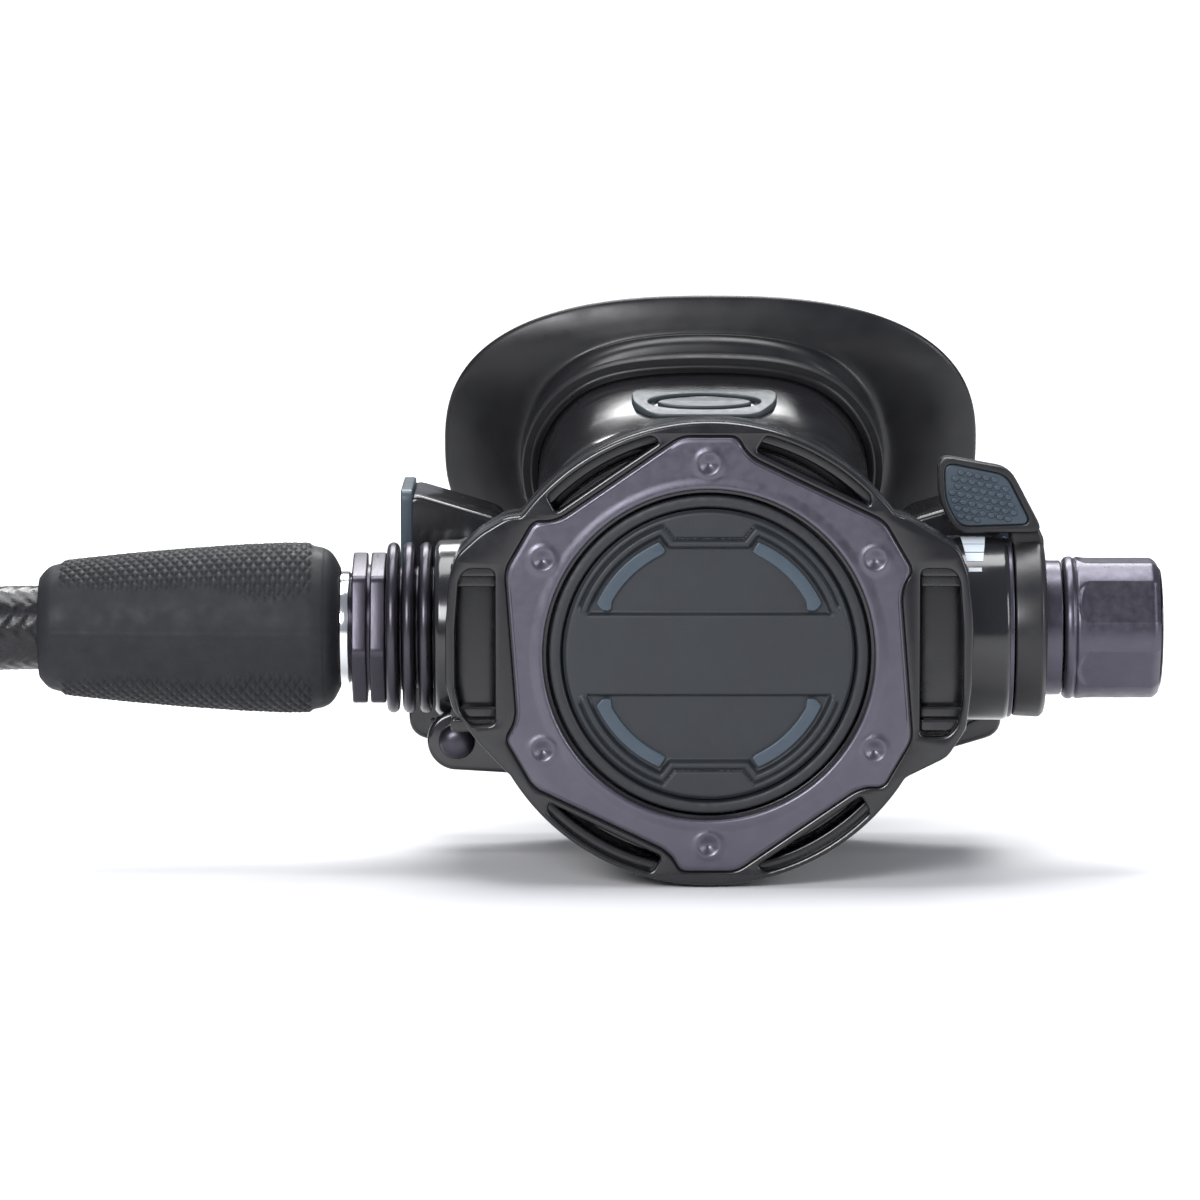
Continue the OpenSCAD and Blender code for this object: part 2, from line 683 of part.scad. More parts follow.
// The deflector's outline across X and Z, shrunk by a wall's thickness for its hollow
function wing_half(t) = [[9 - t, 1.2 + t], [31.5, 13.6 + 1.1 * t], [wing_reach - 0.2, 16.5 + 1.1 * t],
    [wing_reach, 18.5 + t], [wing_reach, 22 + t],
    [wing_reach, 50.5 - t], [28 + t, 46.5 - 1.2 * t], [26.6 + t, 29 + t], [14, 25.2 - t]];
module wing_outline(t) {
    half = wing_half(t);
    polygon(concat(half, [for (k = [len(half) - 1 : -1 : 0]) [-half[k][0], half[k][1]]]));
}
module exhaust_deflector() {
    color("#1a1b1e") difference() {
        union() {
            placed() translate([0, wing_back, 0]) rotate([90, 0, 0]) linear_extrude(wing_depth) wing_outline(0);
            placed() translate([-12, wing_front + 6, 0]) cube([24, 10, 2.4]);
        }
        placed() translate([0, wing_back - wing_wall, 0]) rotate([90, 0, 0])
            linear_extrude(wing_depth - 2 * wing_wall) {
                wing_outline(wing_wall);
                for (side = [-1, 1]) translate([side * (wing_reach + 2) - 4, 25]) square([8, 21]);
            }
        on_exhaust(-1) cylinder(r = seat_r + 0.6, h = 4);
        on_neck(0) linear_extrude(neck_end) oval(neck_width + 0.6, neck_height + 0.6);
    }
}
lip_t = 1;
module deflector_lips() {
    color("#3e505f") for (side = [-1, 1]) placed()
        translate([side > 0 ? wing_reach : -wing_reach - lip_t, 0, 0]) difference() {
            translate([0, wing_front, 22]) cube([lip_t, wing_depth, 28.4]);
            translate([-1, wing_front + wing_wall, 25]) cube([3, wing_depth - 2 * wing_wall, 21]);
        }
}

// Hose and its two ends
module hex_ring(across, turn, length) {
    rotate([0, 0, turn]) cylinder(r = across / 2 / cos(30), h = length, $fn = 6);
}
module hose_swivel_nut() {
    color("#4a4754") on_valve(nut_from) difference() {
        union() {
            hex_ring(18.6, 14, 2.1);
            cylinder(r = 8.6, h = nut_to - nut_from);
            translate([0, 0, 2.5]) hex_ring(18.6, 14, nut_to - nut_from - 2.5);
        }
        translate([0, 0, -1]) cylinder(r = 6.02, h = 20);
    }
}
module hose_ferrule() {
    color("#d6d8da") on_valve(protector_from - 3) difference() {
        cylinder(r = 7.8, h = nut_from - protector_from + 3 - 0.02);
        translate([0, 0, -1]) cylinder(r = 5.2, h = 20);
    }
}
module hose_nipple() {
    color("#c9b26a") on_valve(protector_from - 12) tube(3.2, 2.2, 12.9);
}
module hose_oring() { color("#202022") on_valve(nut_from + 0.5) ring(4, 0.42); }
module hose_protector() {
    chamfer = 1.6;
    r_far = 8.7;
    r_near = 11.4;
    color("#2d2e34") on_valve(protector_to) rotate_extrude() polygon([
        [hose_d / 2 + slip, 0], [r_far - chamfer, 0], [r_far, chamfer],
        [r_near, protector_length - 6], [r_near - 0.4, protector_length - 1.6], [r_near - 2, protector_length],
        [7.9, protector_length], [7.9, protector_length - 3.2], [hose_d / 2 + slip, protector_length - 3.2]]);
}
module hose_run() {
    inside = [[protector_from - 3.4, 0, valve_z]];
    points = [for (s = [0 : 9 : run_fall]) run_place(s)];
    color("#1d1d20") placed() sweep(concat(inside, points), hose_d / 2, 12);
}
module on_coil() { placed() translate([coil_x, coil_y, 0]) children(); }
module hose_coil() {
    color("#1d1d20") on_coil() rotate_extrude() translate([(coil_inner + coil_outer) / 2, hose_d / 2])
        oval(coil_outer - coil_inner, hose_d);
}
module hose_tail() {
    points = [for (k = [0 : 12]) tail_place(k / 12)];
    color("#1d1d20") on_coil() sweep(concat(points, [tail_end]), hose_d / 2, 12);
}
module on_tail(s) {
    on_coil() translate(tail_end) rotate([0, 90, tail_turn])
        translate([0, 0, s]) children();
}
module hose_end_ferrule() {
    color("#d6d8da") on_tail(-8) tube(7.2, hose_d / 2, 18);
}
module hose_end_fitting() {
    color("#b9bcc0") on_tail(10) difference() {
        union() {
            rotate([0, 0, 30]) cylinder(r = end_hex / cos(30), h = 7, $fn = 6);
            cylinder(r = 3.7, h = 10);
            translate([0, 0, 9.4]) cylinder(r = 4.76, h = 8);
        }
        translate([0, 0, -1]) cylinder(r = 2.2, h = 30);
    }
}
module hose_end_oring() { color("#202022") on_tail(18.2) ring(4.5, 0.78); }
module hose_tie() {
    color("#26272b") on_coil() rotate([0, 0, 45]) translate([-(coil_inner + coil_outer) / 2, 0, 0]) rotate([90, 0, 0])
        translate([0, 0, -4]) linear_extrude(8) difference() {
            translate([0, hose_d / 2]) oval(coil_outer - coil_inner + 2.4, hose_d + 2.4);
            translate([0, hose_d / 2]) oval(coil_outer - coil_inner + 0.1, hose_d + 0.1);
            translate([-50, -10]) square([100, 10]);
        }
}

case_body();
front_cover();
trim_ring();
purge_button();
purge_face();
purge_accents();
purge_spring();
diaphragm();
diaphragm_plate();
diaphragm_ring();
lever();
lever_pin();
valve_barrel();
barrel_orings();
barrel_nut();
inlet_fitting();
orifice();
orifice_oring();
poppet();
poppet_seat();
poppet_spring();
balance_plug();
balance_oring();
spring_adjuster();
adjuster_oring();
knob();
knob_cap();
knob_shaft();
knob_screw();
knob_retainer();
venturi_lever();
venturi_pad();
venturi_scale();
venturi_vane();
top_badge();
cover_lock_pin();
mouthpiece();
mouthpiece_clamp();
exhaust_valve();
exhaust_seat();
exhaust_deflector();
deflector_lips();
hose_swivel_nut();
hose_ferrule();
hose_nipple();
hose_oring();
hose_protector();
hose_run();
hose_coil();
hose_tail();
hose_tie();
hose_end_ferrule();
hose_end_fitting();
hose_end_oring();
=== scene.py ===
"""Scuba regulator second stage with its braided hose: looks, floor, lights and camera."""
import math

import bmesh
import bpy
import numpy as np
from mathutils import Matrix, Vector
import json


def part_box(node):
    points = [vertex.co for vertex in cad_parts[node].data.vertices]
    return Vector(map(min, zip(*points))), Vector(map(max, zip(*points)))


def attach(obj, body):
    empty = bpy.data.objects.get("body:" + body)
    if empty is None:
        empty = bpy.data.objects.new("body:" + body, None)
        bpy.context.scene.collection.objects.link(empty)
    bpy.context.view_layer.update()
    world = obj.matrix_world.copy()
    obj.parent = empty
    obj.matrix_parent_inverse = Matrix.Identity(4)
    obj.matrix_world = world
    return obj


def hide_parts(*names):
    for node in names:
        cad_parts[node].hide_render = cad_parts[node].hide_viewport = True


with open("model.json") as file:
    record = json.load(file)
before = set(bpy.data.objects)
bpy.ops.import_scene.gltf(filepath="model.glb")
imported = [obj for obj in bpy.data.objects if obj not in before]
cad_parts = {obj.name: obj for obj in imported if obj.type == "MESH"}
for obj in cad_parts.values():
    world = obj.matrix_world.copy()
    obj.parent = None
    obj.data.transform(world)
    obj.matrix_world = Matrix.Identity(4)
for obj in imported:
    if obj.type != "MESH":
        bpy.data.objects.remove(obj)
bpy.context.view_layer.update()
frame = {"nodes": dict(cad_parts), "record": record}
MM = 0.001

# The frame's driving places, all from the CAD model's own boxes, in millimetres


def span(node):
    """Lowest and highest corner of a CAD node in millimetres."""
    low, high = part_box(node)
    return Vector(low) / MM, Vector(high) / MM


def middle(node):
    low, high = span(node)
    return (low + high) / 2


COVER = middle("purge_button")
KNOB = middle("knob")
CX = COVER.x
CZ = COVER.z
VY = KNOB.y
VZ = KNOB.z - CZ


def at(x, y, z):
    """A point in metres from millimetres right of, behind and above the cover's middle."""
    return Vector(((CX + x) * MM, (VY + y) * MM, (CZ + z) * MM))


def place_array(points):
    """The same for an array of points."""
    return (np.asarray(points, float) + np.array([CX, VY, CZ])) * MM


# Mesh helpers


def finish_mesh(name, mesh, body, angle, node, slot, look=None):
    """Links a mesh as a piece, shades it in its slot's look or another one, puts it under its body
    and hides the CAD nodes it stands in for."""
    piece = bpy.data.objects.new(name, mesh)
    bpy.context.scene.collection.objects.link(piece)
    mesh.materials.clear()
    mesh.materials.append(LOOK[look or slot])
    for polygon in mesh.polygons:
        polygon.use_smooth = True
    mesh.set_sharp_from_angle(angle=math.radians(angle))
    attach(piece, body)
    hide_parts(*([node] if isinstance(node, str) else node))
    return piece


def clean(mesh):
    """Merges doubled points and turns every face outwards."""
    b = bmesh.new()
    b.from_mesh(mesh)
    bmesh.ops.remove_doubles(b, verts=b.verts, dist=1e-7)
    bmesh.ops.recalc_face_normals(b, faces=b.faces)
    b.to_mesh(mesh)
    b.free()
    return mesh


def mesh_of(name, points, faces):
    mesh = bpy.data.meshes.new(name)
    mesh.from_pydata([tuple(p) for p in points], [], [tuple(f) for f in faces])
    return clean(mesh)


def grid_faces(rows, columns):
    """Quads of a grid of points, whose columns close into rings."""
    return [
        (
            r * columns + c,
            r * columns + (c + 1) % columns,
            (r + 1) * columns + (c + 1) % columns,
            (r + 1) * columns + c,
        )
        for r in range(rows - 1)
        for c in range(columns)
    ]


def ring_cap(start, columns):
    return tuple(range(start, start + columns))


def rings_mesh(name, rings, close="ends"):
    """A skin over rings of points, closed by its ends or into a loop."""
    rows, columns = len(rings), len(rings[0])
    points = place_array(np.concatenate(rings))
    faces = grid_faces(rows, columns)
    if close == "ends":
        faces += [ring_cap(0, columns), ring_cap((rows - 1) * columns, columns)]
    if close == "loop":
        last = (rows - 1) * columns
        faces += [
            (last + c, last + (c + 1) % columns, (c + 1) % columns, c)
            for c in range(columns)
        ]
    return mesh_of(name, points, faces)


def valve_ring(x, radii, angles):
    """Points round the valve's axis at x, at radii (one number or one per angle)."""
    radii = np.broadcast_to(radii, angles.shape)
    return np.stack([np.full_like(angles, x), radii * np.sin(angles), VZ + radii * np.cos(angles)], 1)


def turns(count):
    return np.linspace(0, 2 * math.pi, count, endpoint=False)


def on_valve(name, profile, count=96):
    """A turned piece on the valve's axis: profile is (x, radius) pairs."""
    angles = turns(count)
    return rings_mesh(name, [valve_ring(x, r, angles) for x, r in profile], "loop")


def on_cover(name, profile, count):
    """A turned piece on the cover's axis: profile is (y, radius) pairs."""
    angles = turns(count)
    rings = [
        np.stack([r * np.cos(angles), np.full_like(angles, y), r * np.sin(angles)], 1)
        for y, r in profile
    ]
    return rings_mesh(name, rings, "loop")


def rounded(profile, radius, steps=3):
    """Rounds the corners of an open or closed chain of pairs, each by up to radius."""
    result = []
    count = len(profile)
    for i in range(count):
        here = Vector(profile[i])
        before = Vector(profile[i - 1]) - here
        after = Vector(profile[(i + 1) % count]) - here
        cut = min(radius, before.length * 0.45, after.length * 0.45)
        start = here + before.normalized() * cut
        end = here + after.normalized() * cut
        for k in range(steps + 1):
            t = k / steps
            result.append(tuple(start * (1 - t) ** 2 + here * 2 * t * (1 - t) + end * t**2))
    return result


def flat_plate(name, outlines, back, front, bevel, place=None, resolution=2):
    """A plate with rounded edges from closed outlines (x, z), the later ones holes, between two
    depths y. place turns a point of the plate (x, y, z) into the piece's own millimetres."""
    curve = bpy.data.curves.new(name, "CURVE")
    curve.dimensions = "2D"
    curve.fill_mode = "BOTH"
    curve.extrude = max((back - front) / 2 - bevel, 0.0)
    curve.bevel_depth = bevel
    curve.bevel_resolution = resolution
    curve.offset = -bevel
    for outline in outlines:
        spline = curve.splines.new("POLY")
        spline.points.add(len(outline) - 1)
        for point, (x, z) in zip(spline.points, outline):
            point.co = (x, z, 0, 1)
        spline.use_cyclic_u = True
    holder = bpy.data.objects.new(name + "_outline", curve)
    bpy.context.scene.collection.objects.link(holder)
    bpy.context.view_layer.update()
    mesh = bpy.data.meshes.new_from_object(holder)
    bpy.data.objects.remove(holder)
    bpy.data.curves.remove(curve)
    centre = (back + front) / 2
    for vertex in mesh.vertices:
        x, z, depth = vertex.co
        point = (x, centre - depth, z)
        if place:
            point = place(*point)
        vertex.co = at(*point)
    return clean(mesh)


def arc(cx, cz, radius, start, end, steps=12):
    """Points of an arc, in degrees."""
    return [
        (cx + radius * math.cos(math.radians(a)), cz + radius * math.sin(math.radians(a)))
        for a in np.linspace(start, end, steps)
    ]


def joined(name, meshes):
    """Several meshes as one."""
    b = bmesh.new()
    for mesh in meshes:
        b.from_mesh(mesh)
        bpy.data.meshes.remove(mesh)
    whole = bpy.data.meshes.new(name)
    b.to_mesh(whole)
    b.free()
    return whole


# Material helpers


class Paint:
    """A material being built: a shader with sockets set, and the textures that feed it."""

    def __init__(self, name, color, roughness, metallic=0.0, **sockets):
        self.material = bpy.data.materials.new(name)
        self.material.use_nodes = True
        self.tree = self.material.node_tree
        self.shader = self.tree.nodes["Principled BSDF"]
        self.shader.inputs["Base Color"].default_value = (*color, 1)
        self.shader.inputs["Roughness"].default_value = roughness
        self.shader.inputs["Metallic"].default_value = metallic
        for socket, value in sockets.items():
            self.shader.inputs[socket.replace("_", " ")].default_value = value
        self.where = self.add("ShaderNodeTexCoord").outputs["Object"]
        self.bumps = []

    def add(self, kind, **settings):
        node = self.tree.nodes.new(kind)
        for key, value in settings.items():
            setattr(node, key, value)
        return node

    def link(self, source, target):
        self.tree.links.new(source, target)

    def stretched(self, scale):
        """Object coordinates scaled by three numbers."""
        mapping = self.add("ShaderNodeMapping")
        mapping.inputs["Scale"].default_value = scale
        self.link(self.where, mapping.inputs["Vector"])
        return mapping.outputs["Vector"]

    def noise(self, scale, detail=4.0, rough=0.5, stretch=None):
        node = self.add("ShaderNodeTexNoise")
        node.inputs["Scale"].default_value = scale
        node.inputs["Detail"].default_value = detail
        node.inputs["Roughness"].default_value = rough
        self.link(self.stretched(stretch) if stretch else self.where, node.inputs["Vector"])
        return node.outputs["Fac"]

    def cells(self, scale, feature="F1", stretch=None):
        node = self.add("ShaderNodeTexVoronoi", feature=feature)
        node.inputs["Scale"].default_value = scale
        self.link(self.stretched(stretch) if stretch else self.where, node.inputs["Vector"])
        return node.outputs["Distance"]

    def levels(self, source, low, high, to_low, to_high):
        node = self.add("ShaderNodeMapRange")
        for key, value in zip(("From Min", "From Max", "To Min", "To Max"), (low, high, to_low, to_high)):
            node.inputs[key].default_value = value
        self.link(source, node.inputs["Value"])
        return node.outputs["Result"]

    def roughness(self, source, low, high):
        """Roughness between two values, by a texture."""
        self.link(self.levels(source, 0.3, 0.7, low, high), self.shader.inputs["Roughness"])

    def color(self, source, dark, light, low=0.3, high=0.7):
        """Colour between two values, by a texture."""
        ramp = self.add("ShaderNodeValToRGB")
        ramp.color_ramp.elements[0].position = low
        ramp.color_ramp.elements[0].color = (*dark, 1)
        ramp.color_ramp.elements[1].position = high
        ramp.color_ramp.elements[1].color = (*light, 1)
        self.link(source, ramp.inputs["Fac"])
        self.link(ramp.outputs["Color"], self.shader.inputs["Base Color"])

    def bump(self, source, strength, distance):
        """Adds one more layer of bumps."""
        node = self.add("ShaderNodeBump")
        node.inputs["Strength"].default_value = strength
        node.inputs["Distance"].default_value = distance * MM
        self.link(source, node.inputs["Height"])
        if self.bumps:
            self.link(self.bumps[-1].outputs["Normal"], node.inputs["Normal"])
        self.bumps.append(node)
        self.link(node.outputs["Normal"], self.shader.inputs["Normal"])


# Camera: level with the valve and a little above, looking at the cover

VIEW_WIDTH = 162.0
VIEW_RISE = 7.4
VIEW_SIDE = -14.7
VIEW_ELEVATION = 6.0
VIEW_DISTANCE = 1000.0
COVER_FRONT = span("front_cover")[0].y - VY


def make_camera():
    tilt = math.radians(VIEW_ELEVATION)
    target = at(VIEW_SIDE, COVER_FRONT, VIEW_RISE)
    back = Vector((0, -math.cos(tilt), math.sin(tilt)))
    data = bpy.data.cameras.new("camera")
    data.sensor_width = 36
    data.lens = 36 * VIEW_DISTANCE / VIEW_WIDTH
    data.clip_start = 0.05
    data.clip_end = 20
    camera = bpy.data.objects.new("camera", data)
    bpy.context.scene.collection.objects.link(camera)
    camera.location = target + back * VIEW_DISTANCE * MM
    camera.rotation_euler = back.to_track_quat("Z", "Y").to_euler()
    bpy.context.scene.camera = camera


make_camera()

# Materials


def black_gloss():
    paint = Paint("black_gloss", (0.008, 0.008, 0.010), 0.2, Coat_Weight=0.25, Coat_Roughness=0.12)
    paint.roughness(paint.noise(260, 5), 0.17, 0.3)
    paint.bump(paint.noise(1800, 3), 0.08, 0.02)
    paint.bump(paint.noise(90, 2), 0.05, 0.2)
    return paint.material


def case_gloss():
    paint = Paint("case_gloss", (0.010, 0.010, 0.012), 0.16, Coat_Weight=0.4, Coat_Roughness=0.1)
    paint.roughness(paint.noise(180, 5), 0.13, 0.25)
    paint.bump(paint.noise(1500, 3), 0.06, 0.02)
    return paint.material


def black_satin():
    paint = Paint("black_satin", (0.012, 0.012, 0.014), 0.36)
    paint.roughness(paint.noise(300, 5), 0.3, 0.44)
    paint.bump(paint.noise(2600, 4), 0.2, 0.03)
    return paint.material


def violet_metal(name, rough_low, rough_high, color=(0.112, 0.106, 0.132)):
    """Satin metal with a violet cast, fine blasted grain and faint wear."""
    paint = Paint(name, color, 0.35, 0.85, Specular_IOR_Level=0.6)
    light = tuple(c * 1.07 for c in color)
    dark = tuple(c * 0.95 for c in color)
    paint.color(paint.noise(420, 6, 0.62), dark, light)
    paint.roughness(paint.noise(900, 5), rough_low, rough_high)
    paint.bump(paint.noise(5200, 3), 0.24, 0.022)
    paint.bump(paint.noise(240, 3), 0.05, 0.06)
    return paint.material


def polished_gunmetal():
    paint = Paint("gunmetal", (0.062, 0.058, 0.072), 0.32, 0.9)
    paint.roughness(paint.noise(500, 4, stretch=(12, 1, 1)), 0.27, 0.38)
    paint.bump(paint.noise(900, 3, stretch=(14, 1, 1)), 0.06, 0.02)
    return paint.material


def chrome():
    paint = Paint("chrome", (0.82, 0.83, 0.85), 0.1, 1.0)
    paint.roughness(paint.noise(700, 4, stretch=(20, 1, 1)), 0.07, 0.2)
    paint.bump(paint.noise(1200, 3, stretch=(25, 1, 1)), 0.08, 0.02)
    return paint.material


def turned_metal(name, color, low=0.22, high=0.36):
    paint = Paint(name, color, 0.3, 1.0)
    paint.roughness(paint.noise(900, 4, stretch=(30, 1, 1)), low, high)
    paint.bump(paint.noise(1500, 3, stretch=(40, 1, 1)), 0.1, 0.02)
    return paint.material


def grained_elastomer():
    """The button's outer ring: a fine leather grain."""
    paint = Paint("grained_elastomer", (0.013, 0.0145, 0.018), 0.5)
    paint.roughness(paint.noise(500, 5), 0.42, 0.58)
    paint.bump(paint.cells(900, "SMOOTH_F1"), 0.5, 0.12)
    paint.bump(paint.noise(2600, 4), 0.3, 0.04)
    return paint.material


def face_elastomer():
    paint = Paint("face_elastomer", (0.014, 0.017, 0.021), 0.5)
    paint.color(paint.noise(160, 4), (0.013, 0.0155, 0.019), (0.0155, 0.019, 0.024))
    paint.roughness(paint.noise(700, 5), 0.43, 0.56)
    paint.bump(paint.noise(4200, 3), 0.22, 0.025)
    return paint.material


def slate_plastic():
    paint = Paint("slate_plastic", (0.042, 0.062, 0.083), 0.42)
    paint.color(paint.noise(240, 4), (0.039, 0.058, 0.078), (0.045, 0.066, 0.088))
    paint.roughness(paint.noise(900, 5), 0.34, 0.48)
    paint.bump(paint.noise(3600, 3), 0.18, 0.025)
    return paint.material


def badge_plastic():
    paint = Paint("badge_plastic", (0.038, 0.052, 0.058), 0.4)
    paint.roughness(paint.noise(900, 5), 0.32, 0.46)
    paint.bump(paint.noise(3600, 3), 0.15, 0.02)
    return paint.material


def white_print():
    paint = Paint("white_print", (0.62, 0.69, 0.75), 0.45)
    paint.roughness(paint.noise(1500, 3), 0.4, 0.5)
    return paint.material


def mouth_silicone():
    paint = Paint("mouth_silicone", (0.010, 0.010, 0.012), 0.34, Specular_IOR_Level=0.42)
    paint.roughness(paint.noise(220, 6), 0.27, 0.42)
    paint.bump(paint.noise(1400, 4), 0.14, 0.04)
    paint.bump(paint.noise(60, 2), 0.08, 0.5)
    return paint.material


def grip_rubber():
    """Matt rubber with faint moulding flow marks and a dusty bloom."""
    paint = Paint("grip_rubber", (0.014, 0.0145, 0.018), 0.62, Specular_IOR_Level=0.3)
    paint.color(paint.noise(320, 6, 0.65), (0.012, 0.0125, 0.015), (0.017, 0.0175, 0.021))
    paint.roughness(paint.noise(420, 6), 0.52, 0.7)
    paint.bump(paint.noise(3000, 5), 0.35, 0.05)
    paint.bump(paint.noise(260, 4, stretch=(1, 0.5, 0.5)), 0.12, 0.12)
    return paint.material


def braid_yarn():
    """Glossy nylon strands; the weave itself is in the mesh."""
    paint = Paint("braid_yarn", (0.008, 0.008, 0.010), 0.28, Specular_IOR_Level=0.4)
    paint.color(paint.noise(700, 4), (0.006, 0.006, 0.008), (0.012, 0.012, 0.015))
    paint.roughness(paint.noise(1200, 4), 0.2, 0.4)
    paint.bump(paint.noise(5200, 3, stretch=(1, 1, 1)), 0.5, 0.05)
    return paint.material


def strap_weave():
    paint = Paint("strap_weave", (0.018, 0.018, 0.021), 0.75, Sheen_Weight=0.3, Sheen_Roughness=0.5)
    wave = paint.add("ShaderNodeTexWave", bands_direction="DIAGONAL")
    wave.inputs["Scale"].default_value = 900
    paint.link(paint.where, wave.inputs["Vector"])
    paint.bump(wave.outputs["Fac"], 0.6, 0.12)
    paint.bump(paint.noise(2500, 4), 0.4, 0.08)
    return paint.material


def nitrile():
    paint = Paint("nitrile", (0.010, 0.010, 0.011), 0.4)
    paint.roughness(paint.noise(1500, 4), 0.32, 0.48)
    paint.bump(paint.noise(3000, 3), 0.12, 0.02)
    return paint.material


def moulded(name, color, low=0.4, high=0.55):
    paint = Paint(name, color, 0.45)
    paint.roughness(paint.noise(700, 4), low, high)
    paint.bump(paint.noise(3000, 3), 0.15, 0.025)
    return paint.material


LOOK = {
    "black_plastic": black_gloss(),
    "case_plastic": case_gloss(),
    "satin": black_satin(),
    "trim_metal": violet_metal("trim_metal", 0.3, 0.42),
    "knob_metal": violet_metal("knob_metal", 0.27, 0.4, (0.090, 0.085, 0.108)),
    "gunmetal": polished_gunmetal(),
    "ferrule_chrome": chrome(),
    "stainless": turned_metal("stainless", (0.5, 0.5, 0.52)),
    "spring_steel": turned_metal("spring_steel", (0.55, 0.56, 0.58), 0.15, 0.25),
    "barrel_metal": turned_metal("barrel_metal", (0.55, 0.56, 0.58), 0.12, 0.22),
    "brass": turned_metal("brass", (0.62, 0.44, 0.18)),
    "purge_outer": grained_elastomer(),
    "purge_plate": face_elastomer(),
    "slate_accent": slate_plastic(),
    "badge": badge_plastic(),
    "index_white": white_print(),
    "mouth_silicone": mouth_silicone(),
    "grip_rubber": grip_rubber(),
    "hose_braid": braid_yarn(),
    "tie": strap_weave(),
    "seal_rubber": nitrile(),
    "clamp_plastic": moulded("clamp_plastic", (0.018, 0.018, 0.02)),
    "silicone": moulded("silicone", (0.03, 0.03, 0.034), 0.25, 0.4),
    "stiff_disc": moulded("stiff_disc", (0.25, 0.26, 0.28)),
    "white_plastic": moulded("white_plastic", (0.6, 0.6, 0.57)),
}


def paint_cad_nodes():
    """Every CAD node that stays gets the worked material of its own slot."""
    for part in frame["record"]["subparts"]:
        node = frame["nodes"].get(part["node"])
        if node:
            node.data.materials.clear()
            node.data.materials.append(LOOK[part["material_slot"]])


paint_cad_nodes()

# The free hose: the seen stretch, a flat coil of turns, and an end that climbs on to the coil

HOSE_D = 11.6
EXIT_X = -91.8
FLOOR = -CZ
HOSE_LOW = FLOOR + HOSE_D / 2
DROP = VZ - HOSE_LOW
RUN_LENGTH = 80.5
RUN_SIDE = 7.0
RUN_FALL = 108.0
COIL_R = 62.0
COIL_X = EXIT_X - RUN_LENGTH
COIL_Y = COIL_R - RUN_SIDE
COIL_PITCH = 12.0
COIL_TURNS = 1.2
TAIL_FROM = math.radians(-90 - 360 * COIL_TURNS)
TAIL_SWEEP = math.radians(95)
TAIL_HEADING = TAIL_FROM - TAIL_SWEEP - math.pi / 2


def ease(t):
    t = min(max(t, 0.0), 1.0)
    return t * t * (3 - 2 * t)


def fall_height(s):
    return HOSE_LOW + DROP * (1 - ease((s - 4) / (RUN_FALL - 4)))


def tail_place(u):
    angle = TAIL_FROM - TAIL_SWEEP * u
    radius = COIL_R - COIL_TURNS * COIL_PITCH + 5 * ease(u)
    return Vector((COIL_X + radius * math.cos(angle), COIL_Y + radius * math.sin(angle),
                   HOSE_LOW + 14.6 * ease(u / 0.9)))


def hose_route():
    """The seen run, the turns that lie flat beside each other, then the climb on to them."""
    route = [Vector((EXIT_X + 6, 0, VZ))]
    for s in range(0, 80, 9):
        route.append(Vector((EXIT_X - s, -RUN_SIDE * ease(s / RUN_LENGTH), fall_height(s))))
    steps = 32
    for k in range(steps):
        turn = COIL_TURNS * k / steps
        angle = math.radians(-90 - 360 * turn)
        radius = COIL_R - COIL_PITCH * turn
        route.append(Vector((COIL_X + radius * math.cos(angle), COIL_Y + radius * math.sin(angle),
                             fall_height(RUN_LENGTH + 2 * math.pi * COIL_R * turn))))
    route += [tail_place(k / 12) for k in range(13)]
    route.append(route[-1] + 9 * Vector((math.cos(TAIL_HEADING), math.sin(TAIL_HEADING), 0)))
    return route


def curve_through(a, b, c, d, t):
    """The place t of the way from b to c on the smooth curve through four places."""
    return 0.5 * (2 * b + (c - a) * t + (2 * a - 5 * b + 4 * c - d) * t**2 + (3 * b - a - 3 * c + d) * t**3)


def smooth_route(points, spacing):
    """Even points along one smooth curve through the given ones."""
    dense = []
    count = len(points)
    for i in range(count - 1):
        a = points[max(i - 1, 0)]
        b, c = points[i], points[i + 1]
        d = points[min(i + 2, count - 1)]
        for k in range(16):
            dense.append(curve_through(a, b, c, d, k / 16))
    dense.append(points[-1])
    dense = np.array([tuple(p) for p in dense])
    for _ in range(60):
        dense[1:-1] += 0.5 * ((dense[:-2] + dense[2:]) / 2 - dense[1:-1])
    steps = np.linalg.norm(np.diff(dense, axis=0), axis=1)
    walked = np.concatenate([[0], np.cumsum(steps)])
    wanted = np.linspace(0, walked[-1], int(walked[-1] / spacing) + 1)
    return np.stack([np.interp(wanted, walked, dense[:, k]) for k in range(3)], 1), walked[-1]


BRAID_STRANDS = 12
BRAID_LAY = 26.0
BRAID_DEPTH = 0.32


def braid_height(along, around):
    """Height of a two-over, two-under braid, from the length along and the angle round."""
    phase = BRAID_STRANDS * around / (2 * math.pi)
    left = phase + BRAID_STRANDS * along / BRAID_LAY
    right = phase - BRAID_STRANDS * along / BRAID_LAY
    bulge_left = np.sqrt(np.abs(np.sin(math.pi * left)))
    bulge_right = np.sqrt(np.abs(np.sin(math.pi * right)))
    over = np.sin(math.pi * (np.floor(left) + np.floor(right)) / 2 + math.pi / 4)
    lift = 0.5 + 0.5 * np.tanh(4 * over)
    return np.maximum(bulge_left * (0.55 + 0.45 * lift), bulge_right * (1.0 - 0.45 * lift))


